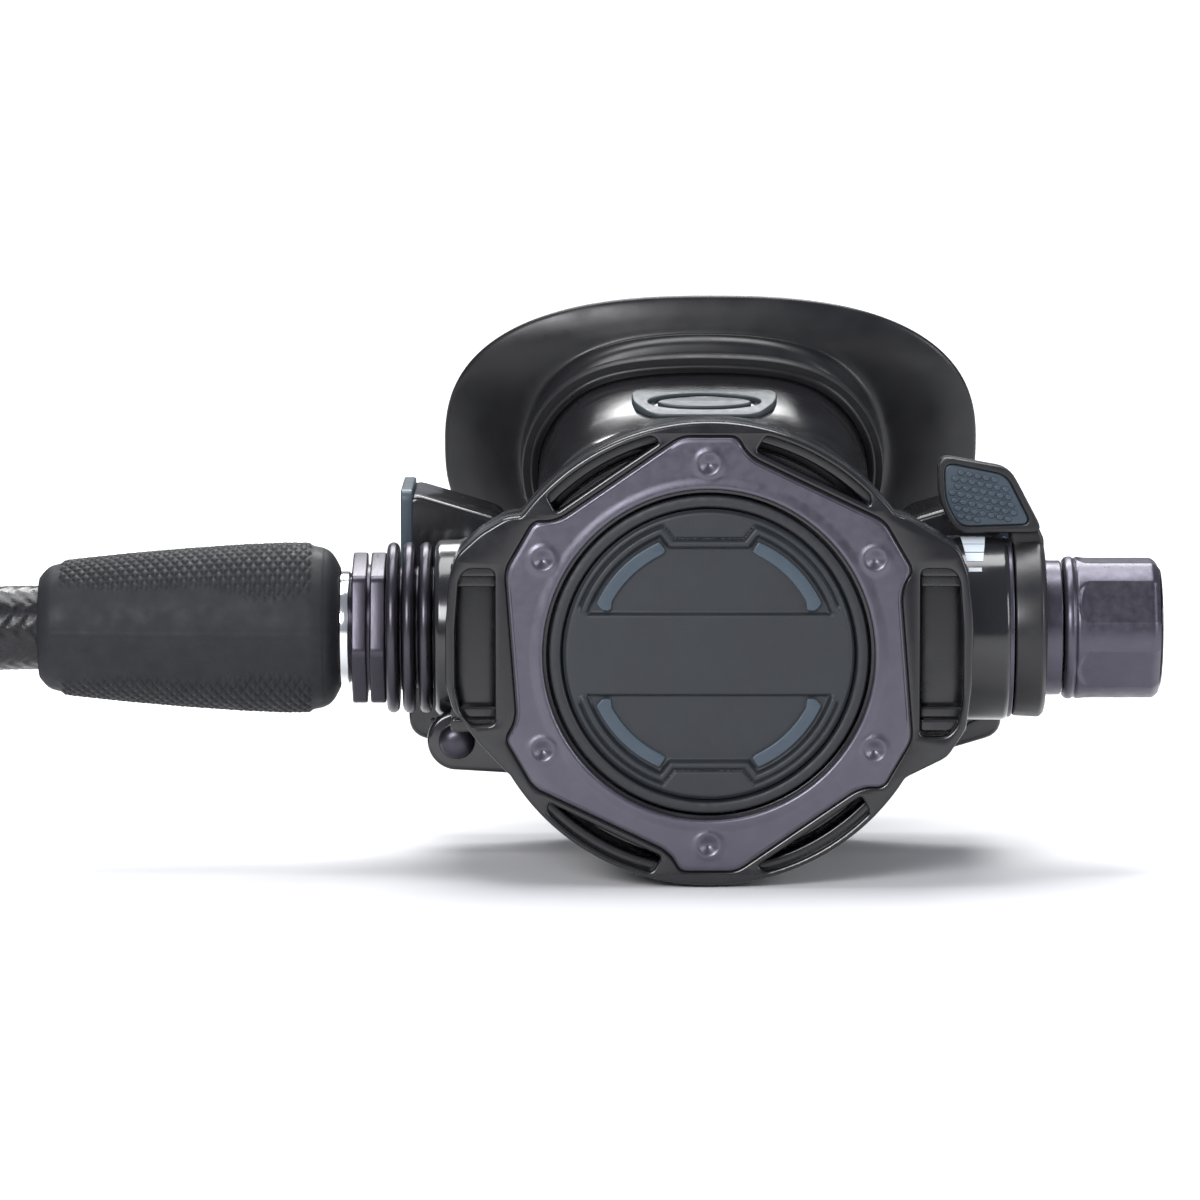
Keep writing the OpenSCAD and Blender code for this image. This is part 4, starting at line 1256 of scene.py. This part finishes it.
def make_case():
    angles = turns(160)
    a, b = NECK_HALF
    shoulder = spline_rings([
        tilted_ring(-11.5, 0, 28.9, 28.9, 0, angles),
        tilted_ring(-6.0, 0, 29.1, 29.1, 0, angles),
        tilted_ring(2.0, 0, 29.0, 29.0, 0, angles),
        tilted_ring(8.0, 0.3, 28.2, 28.4, 1, angles),
        tilted_ring(12.0, 3.2, 26.0, 25.2, 6, angles),
        tilted_ring(16.5, 7.8, 24.2, 19.6, 13, angles),
        neck_ring(17.5, a + 0.2, b + 1.0, angles),
        neck_ring(24.0, a, b, angles),
        neck_ring(33.0, a, b, angles),
    ], 5)
    end = [neck_ring(42.6, a, b, angles), neck_ring(43.0, a - 0.4, b - 0.4, angles),
           neck_ring(43.0, a - 2.0, b - 2.0, angles), neck_ring(42.6, a - 2.4, b - 2.4, angles)]
    inner = [neck_ring(16.0, a - 2.4, b - 2.4, angles),
             tilted_ring(10.5, 2.0, 23.0, 22.5, 4, angles),
             tilted_ring(4.0, 0, 26.2, 26.2, 0, angles), tilted_ring(-11.5, 0, 26.2, 26.2, 0, angles)]
    skin = rings_mesh("skin", shoulder + end + inner, "loop")
    tubes = [
        on_valve("tube_left", rounded([(-37.4, 9.0), (-37.4, 11.5), (-36.8, 12.1), (-33.8, 12.2),
                                       (-33.2, 12.6),
                                       (-26.2, 12.7), (-26.2, 9.0)], 0.35, 3), 140),
        on_valve("tube_right", rounded([(26.2, 9.0), (26.2, 12.7), (40.8, 12.7), (41.4, 12.2), (41.4, 9.4),
                                        (39.8, 9.0)], 0.35, 3), 140),
    ]
    lug_edge = arc(-34.3, -13.4, 4.1, 95, 272, 24) + [(-27.4, -17.9), (-23.6, -12.0), (-28.0, -9.3)]
    lug = flat_plate("lug", [lug_edge], -3.9, -6.7, 0.7, resolution=3)
    lug_back = flat_plate("lug_back", [rounded([(-36.6, -16.6), (-24.0, -17.2), (-22.0, -10.0),
                                                (-36.6, -11.0)],
                                               1.4, 4)], 5.0, -4.4, 0.5)
    mesh = joined("case_shell", [skin, *tubes, lug, lug_back])
    finish_mesh("case_shell", mesh, "case", 45, "case_body", "case_plastic")


def make_lock_pin():
    """The domed pin head in the lower left lug."""
    angles = turns(64)
    rows = [(-3.0, 1.5), (-6.6, 1.5), (-6.75, 2.3), (-7.1, 2.5), (-7.7, 2.42), (-8.3, 2.1),
            (-8.75, 1.5), (-8.95, 0.8)]
    rings = [np.stack([-34.3 + r * np.cos(angles), np.full_like(angles, y), -13.4 + r * np.sin(angles)], 1)
             for y, r in rows]
    mesh = rings_mesh("lock_pin", rings, "ends")
    finish_mesh("lock_pin", mesh, "case", 50, "cover_lock_pin", "gunmetal")


def make_badge():
    """A plain plate let into the top of the neck: straight at the back, tapering to the front."""
    top = NECK_HALF[1]
    outline = rounded([(-10.3, 31.7), (10.3, 31.7), (10.2, 27.6), (7.4, 23.0), (-7.4, 23.0),
                       (-10.2, 27.6)], 2.0, 7)
    angles = turns(72)
    outer = [(7.9 * math.cos(a), 27.6 + 2.7 * math.sin(a)) for a in angles]
    inner = [(6.6 * math.cos(a), 27.6 + 1.7 * math.sin(a)) for a in angles]
    plate = flat_plate("plate", [outline, outer], top + 0.3, top - 1.0, 0.28, neck_place, 3)
    band = flat_plate("band", [inner], top + 0.25, top - 1.0, 0.3, neck_place, 3)
    bed = flat_plate("bed", [outer], top - 0.35, top - 1.0, 0.05, neck_place)
    mesh = joined("oval_badge", [plate, band, bed])
    finish_mesh("oval_badge", mesh, "case", 40, "top_badge", "badge")


def neck_place(x, u, s):
    """Lays a flat plate across the neck: its depth is up, its second number along the neck."""
    return tuple(on_neck(x, u, s))


def make_scale():
    """Three tapering index marks and a small bar, on the boss."""
    marks = []
    for start, end, near, far in ((6, 19.5, 3.4, 3.0), (20.5, 29.5, 3.0, 2.6), (30.5, 38.5, 2.6, 2.2),
                                  (44, 47, 1.8, 1.8)):
        span_angles = np.radians(np.linspace(start, end, 7))
        rings = []
        for t, a in zip(np.linspace(0, 1, 7), span_angles):
            half = (near + (far - near) * t) / 2
            corners = [(-half, TUBE_R - 0.1), (half, TUBE_R - 0.1), (half, TUBE_R + 0.05),
                       (-half, TUBE_R + 0.05)]
            rings.append([(RING_X - 5.5 + x, -r * math.sin(a), VZ + r * math.cos(a)) for x, r in corners])
        marks.append(rings_mesh("mark", np.array(rings), "ends"))
    mesh = joined("index_marks", marks)
    finish_mesh("index_marks", mesh, "case", 40, "venturi_scale", "index_white")


make_case()
make_lock_pin()
make_badge()
make_scale()

# Mouthpiece: a collar on the neck, a flared flange, a short tube and two pairs of bite tabs


def lip_ring(s, a, b, angles, fullness, squareness):
    """A ring between the collar's oval and the flange's squared outline, which sits a little right."""
    x, u = oval_points(a, b, fullness, angles)
    c, n = np.cos(angles), np.sin(angles)
    wide = a * np.sign(c) * np.abs(c) ** 0.79
    tall = b * np.sign(n) * np.abs(n) ** 0.79
    return on_neck(x + (wide - x + 1.2) * squareness, u + (tall - u) * squareness, s)


def make_mouthpiece():
    angles = turns(224)
    profile = [
        (37.7, 23.9, 15.9, 3.0, 0), (37.8, 24.5, 16.5, 3.0, 0), (38.4, 24.9, 16.9, 3.0, 0),
        (39.7, 24.9, 17.0, 3.0, 0),
        (40.2, 25.0, 17.9, 3.0, 0), (40.9, 25.2, 18.9, 2.9, 0), (42.0, 25.6, 19.3, 2.8, 0.05),
        (43.1, 26.0, 19.1, 2.6, 0.15), (43.8, 27.0, 18.9, 2.3, 0.4), (44.4, 30.2, 19.9, 2.0, 0.7),
        (45.3, 34.2, 21.5, 1.7, 0.9), (46.3, 37.3, 22.9, 1.6, 1), (46.9, 38.2, 23.4, 1.6, 1),
        (47.5, 38.1, 23.3, 1.6, 1),
        (47.9, 37.4, 22.8, 1.6, 1), (47.6, 34.0, 20.4, 1.7, 1), (46.9, 27.0, 16.0, 2.0, 0.5),
        (46.9, 21.0, 11.6, 2.4, 0),
        (48.0, 18.8, 9.6, 2.8, 0), (51.6, 17.8, 8.8, 3.0, 0), (52.4, 17.0, 8.1, 3.0, 0),
        (52.2, 15.8, 6.9, 3.0, 0),
        (51.0, 15.2, 6.2, 3.0, 0), (45.0, 15.0, 6.0, 3.0, 0),
    ]
    rings = spline_rings([lip_ring(s, a, b, angles, f, q) for s, a, b, f, q in profile], 4)
    inner = [neck_ring(43.5, 15.0, 6.0, angles), neck_ring(43.4, 23.6, 15.6, angles),
             neck_ring(37.7, 23.6, 15.6, angles)]
    bell = rings_mesh("bell", rings + inner, "loop")
    tabs = []
    for side in (-1, 1):
        for u in (-6.9, 5.0):
            outline = rounded([(side * 11.0, 50.0), (side * 19.5, 50.0), (side * 20.5, 57.8),
                               (side * 13.0, 58.2)], 1.6, 5)
            tabs.append(flat_plate("tab", [outline], u + 1.9, u, 0.6, neck_place, 3))
        stop = rounded([(side * 13.2, 56.4), (side * 20.3, 56.0), (side * 20.5, 57.6),
                        (side * 13.2, 58.2)], 0.7, 4)
        tabs.append(flat_plate("stop", [stop], 8.6, -8.6, 0.7, neck_place, 3))
    mesh = joined("mouthpiece_bell", [bell, *tabs])
    finish_mesh("mouthpiece_bell", mesh, "case", 60, "mouthpiece", "mouth_silicone")


def make_clamp():
    """A toothed strap in the collar's groove, with its square buckle underneath."""
    angles = turns(240)
    tooth = 0.16 * (np.arange(240) % 3 == 0) * (np.sin(angles) < -0.2)
    rings = []
    for s, lift in ((38.1, 0.0), (38.1, 0.9), (38.4, 1.1), (39.5, 1.1), (39.8, 0.9), (39.8, 0.0)):
        x, u = oval_points(24.8 + lift, 16.8 + lift, 3.0, angles)
        scale = 1 + (tooth / 20 if lift > 1.0 else 0)
        rings.append(on_neck(x * scale, u * scale, s))
    strap = rings_mesh("strap", rings, "loop")
    buckle = flat_plate("buckle", [rounded([(-3.2, 37.6), (3.2, 37.6), (3.2, 40.2), (-3.2, 40.2)], 0.6, 4)],
                        -17.2, -19.8, 0.4, neck_place)
    mesh = joined("clamp_strap", [strap, buckle])
    finish_mesh("clamp_strap", mesh, "case", 40, "mouthpiece_clamp", "clamp_plastic")


make_mouthpiece()
make_clamp()

# Exhaust deflector: a wing-shaped shell round the neck, open at both ends, with slate lips

WING_FRONT = 13.6
WING_BACK = 35.6
WING_WALL = 1.8
WING_HALF = [(9, -30.3), (31.5, -17.9), (41.3, -15), (41.5, -9.5), (41.5, 19), (28, 15), (26.6, -2.5),
             (14, -6.3)]
WING_BOTTOM = [(9, -30.3), (31.5, -17.9), (41.3, -15), (41.5, -9.5), (41.5, -6.5), (39.8, -6.5),
               (39.2, -13.2),
               (31, -15.9), (7.5, -28.4)]
WING_TOP = [(14, -6.3), (26.6, -2.5), (28, 15), (41.5, 19), (41.5, 14.6), (39.7, 14.6), (39.7, 16.6),
            (29.8, 13.6), (28.4, -3.9), (14.3, -8.1)]


def mirrored(half):
    return half + [(-x, z) for x, z in reversed(half)]


def make_deflector():
    whole = rounded(mirrored(WING_HALF), 2.2, 5)
    front = flat_plate("front", [whole], WING_FRONT + WING_WALL + 0.4, WING_FRONT, 0.8, resolution=4)
    back = flat_plate("back", [whole], WING_BACK, WING_BACK - WING_WALL - 0.4, 0.8, resolution=4)
    walls = [
        flat_plate("wall", [rounded(mirrored(half), 2.2, 5)], WING_BACK - 1.35, WING_FRONT + 1.35, 0.2)
        for half in (WING_BOTTOM, WING_TOP)
    ]
    foot = flat_plate("foot", [rounded([(-12, -31.5), (12, -31.5), (12, -29.2), (-12, -29.2)], 0.6, 3)],
                      WING_FRONT + 16, WING_FRONT + 6, 0.4)
    slot = [
        flat_plate("slot", [rounded([(side * 30, -17.6), (side * 38.4, -13.2), (side * 38.2, -12.6),
                                     (side * 29.8,
                                      -17.0)], 0.2, 2)], WING_FRONT + 0.2, WING_FRONT - 0.25, 0.12)
        for side in (-1, 1)
    ]
    mesh = joined("wing_deflector", [front, back, *walls, foot, *slot])
    finish_mesh("wing_deflector", mesh, "case", 35, "exhaust_deflector", "black_plastic")


def make_lips():
    frames = []
    for side in (-1, 1):
        outer = rounded([(WING_FRONT - 0.2, -9.0), (WING_BACK + 0.1, -9.0), (WING_BACK + 0.1, 19.3),
                         (WING_FRONT - 0.2, 19.3)], 1.6, 5)
        inner = rounded([(WING_FRONT + 2, -6.3), (WING_BACK - 2, -6.3), (WING_BACK - 2, 14.4),
                         (WING_FRONT + 2, 14.4)], 1.2, 4)
        frames.append(flat_plate("frame", [outer, inner], side * 42.5 if side > 0 else -40.8,
                                 40.8 if side > 0 else -42.5, 0.3,
                                 lambda x, y, z: (y, x, z), 3))
    mesh = joined("wing_lips", frames)
    finish_mesh("wing_lips", mesh, "case", 40, "deflector_lips", "slate_accent")


make_deflector()
make_lips()

# Far end of the hose: ferrule, first stage fitting and tie

TAIL_END = hose_route()[-1]
TAIL_WAY = Vector((math.cos(TAIL_HEADING), math.sin(TAIL_HEADING), 0))
TAIL_SIDE = Vector((-math.sin(TAIL_HEADING), math.cos(TAIL_HEADING), 0))


def on_tail(name, profile, count=96, sides=None):
    """A turned piece on the hose's end: profile is (distance, radius) pairs. sides is the stretch
    that is cut to a hexagon: its start, its end and the distance of its flats."""
    angles = turns(count)
    rings = []
    for s, r in profile:
        radius = np.full_like(angles, r)
        if sides and sides[0] <= s <= sides[1]:
            local = (angles + math.pi / 6) % (math.pi / 3) - math.pi / 6
            radius = np.minimum(radius, sides[2] / np.cos(local))
        centre = TAIL_END + TAIL_WAY * s
        rings.append(np.array([tuple(centre + TAIL_SIDE * (q * math.sin(t)) + Vector((0, 0,
                                                                                      q * math.cos(t))))
                               for q, t in zip(radius, angles)]))
    return rings_mesh(name, rings, "loop")


def make_hose_end():
    crimps = []
    for s in np.linspace(-6.5, 6.5, 6):
        crimps += [(s - 0.9, 7.2), (s - 0.35, 6.95), (s + 0.35, 6.95), (s + 0.9, 7.2)]
    ferrule = on_tail("end_ferrule", [(-8, 5.7), (-8, 6.8), (-7.6, 7.2), *crimps, (9.4, 7.2), (10, 6.6),
                                      (10, 5.7)])
    finish_mesh("end_ferrule", ferrule, "case", 50, "hose_end_ferrule", "ferrule_chrome")
    thread = []
    for k in range(7):
        s = 19.6 + k * 1.06
        thread += [(s, 4.25), (s + 0.42, 4.74), (s + 0.6, 4.74), (s + 0.98, 4.25)]
    profile = [(10, 2.2), (10, 8.6), (10.6, 9.3), (16.4, 9.3), (17, 8.6), (17, 3.7), (19.4, 3.7), *thread,
               (27.0, 4.2), (27.4, 3.8), (27.4, 2.2)]
    fitting = on_tail("end_fitting", profile, 120, (10.2, 16.8, 8.3))
    finish_mesh("end_fitting", fitting, "case", 35, "hose_end_fitting", "ferrule_chrome")


def make_tie():
    """A hook-and-loop strap round the turns, its end lapped over."""
    low = COIL_R - COIL_TURNS * COIL_PITCH - HOSE_D / 2
    high = COIL_R + HOSE_D / 2
    centre = (low + high) / 2
    half = (high - low) / 2

    def loop(grow):
        h = HOSE_D / 2
        right = arc(half - h, h, h + grow, -90, 90, 14)
        left = arc(-half + h, h, h + grow, 90, 270, 14)
        points = right + left
        return [(x, max(z, 0.05 if grow > 0.5 else 0.0)) for x, z in points]

    def across_coil(x, y, z):
        out = -centre - x
        return (COIL_X + (out - y) * math.sqrt(0.5), COIL_Y + (out + y) * math.sqrt(0.5), FLOOR + z)

    strap = flat_plate("strap", [loop(1.05), loop(0.06)], 4, -4, 0.25, across_coil)
    lap = [(x, z) for x, z in loop(1.9) if z > 6]
    lap += [(x, z) for x, z in reversed(loop(1.0)) if z > 6]
    tab = flat_plate("lap", [lap], 3.8, -3.8, 0.2, across_coil)
    mesh = joined("coil_strap", [strap, tab])
    finish_mesh("coil_strap", mesh, "case", 45, "hose_tie", "tie")


make_hose_end()
make_tie()

# Floor and studio light


def make_stage():
    """A wide floor of white paper that greys towards the front; behind that it glows more with distance, a
    painted light that keeps the far floor white.
    """
    paint = Paint("glowing_studio_paper", (0.86, 0.86, 0.87), 0.75)
    paint.roughness(paint.noise(40, 3), 0.7, 0.85)
    paint.bump(paint.noise(900, 3), 0.03, 0.02)
    split = paint.add("ShaderNodeSeparateXYZ")
    paint.link(paint.where, split.inputs["Vector"])
    behind = paint.levels(split.outputs["Y"], -0.62, -0.24, 0, 1)
    paint.color(behind, (0.2, 0.2, 0.21), (0.86, 0.86, 0.87), 0, 1)
    # Painted light: behind the front, the floor glows more the farther it lies from the middle, so the far
    # floor stays white
    distance = paint.add("ShaderNodeVectorMath", operation="LENGTH")
    paint.link(paint.where, distance.inputs[0])
    glow = paint.add("ShaderNodeMath", operation="MULTIPLY")
    paint.link(paint.levels(distance.outputs["Value"], 0.35, 1.3, 0, 0.95), glow.inputs[0])
    paint.link(behind, glow.inputs[1])
    paint.shader.inputs["Emission Color"].default_value = (1, 1, 1, 1)
    paint.link(glow.outputs["Value"], paint.shader.inputs["Emission Strength"])
    reach = 9.0
    points = [(x, y, -0.0003) for x, y in ((-reach, -reach), (reach, -reach), (reach, reach),
                                           (-reach, reach))]
    mesh = bpy.data.meshes.new("studio_sweep")
    mesh.from_pydata(points, [], [(0, 1, 2, 3)])
    mesh.materials.append(paint.material)
    sweep = bpy.data.objects.new("studio_sweep", mesh)
    bpy.context.scene.collection.objects.link(sweep)


def add_light(name, place, aim, size, power, color=(1, 1, 1)):
    """A soft rectangular lamp at place, metres from the object's middle, pointed at aim."""
    data = bpy.data.lights.new(name, "AREA")
    data.shape = "RECTANGLE"
    data.size, data.size_y = size
    data.energy = power
    data.color = color
    lamp = bpy.data.objects.new(name, data)
    bpy.context.scene.collection.objects.link(lamp)
    lamp.location = place
    way = Vector(place) - Vector(aim)
    lamp.rotation_euler = way.to_track_quat("Z", "Y").to_euler()


def make_world():
    world = bpy.data.worlds.new("studio")
    world.use_nodes = True
    background = world.node_tree.nodes["Background"]
    background.inputs["Color"].default_value = (0.86, 0.89, 1.0, 1)
    background.inputs["Strength"].default_value = 0.32
    bpy.context.scene.world = world


make_stage()
make_world()
OBJECT = (0.0, -0.01, 0.04)
add_light("overhead", (-0.05, 0.1, 0.85), OBJECT, (0.7, 0.4), 6)
add_light("back_top", (-0.04, 0.62, 0.68), OBJECT, (0.6, 0.28), 6)
add_light("key_left", (-0.4, -0.95, 0.5), OBJECT, (0.5, 0.34), 9, (0.98, 0.98, 1.0))
add_light("fill_right", (0.85, -0.45, 0.36), OBJECT, (0.28, 0.5), 3, (0.96, 0.98, 1.0))
bpy.context.scene.view_settings.view_transform = "Standard"
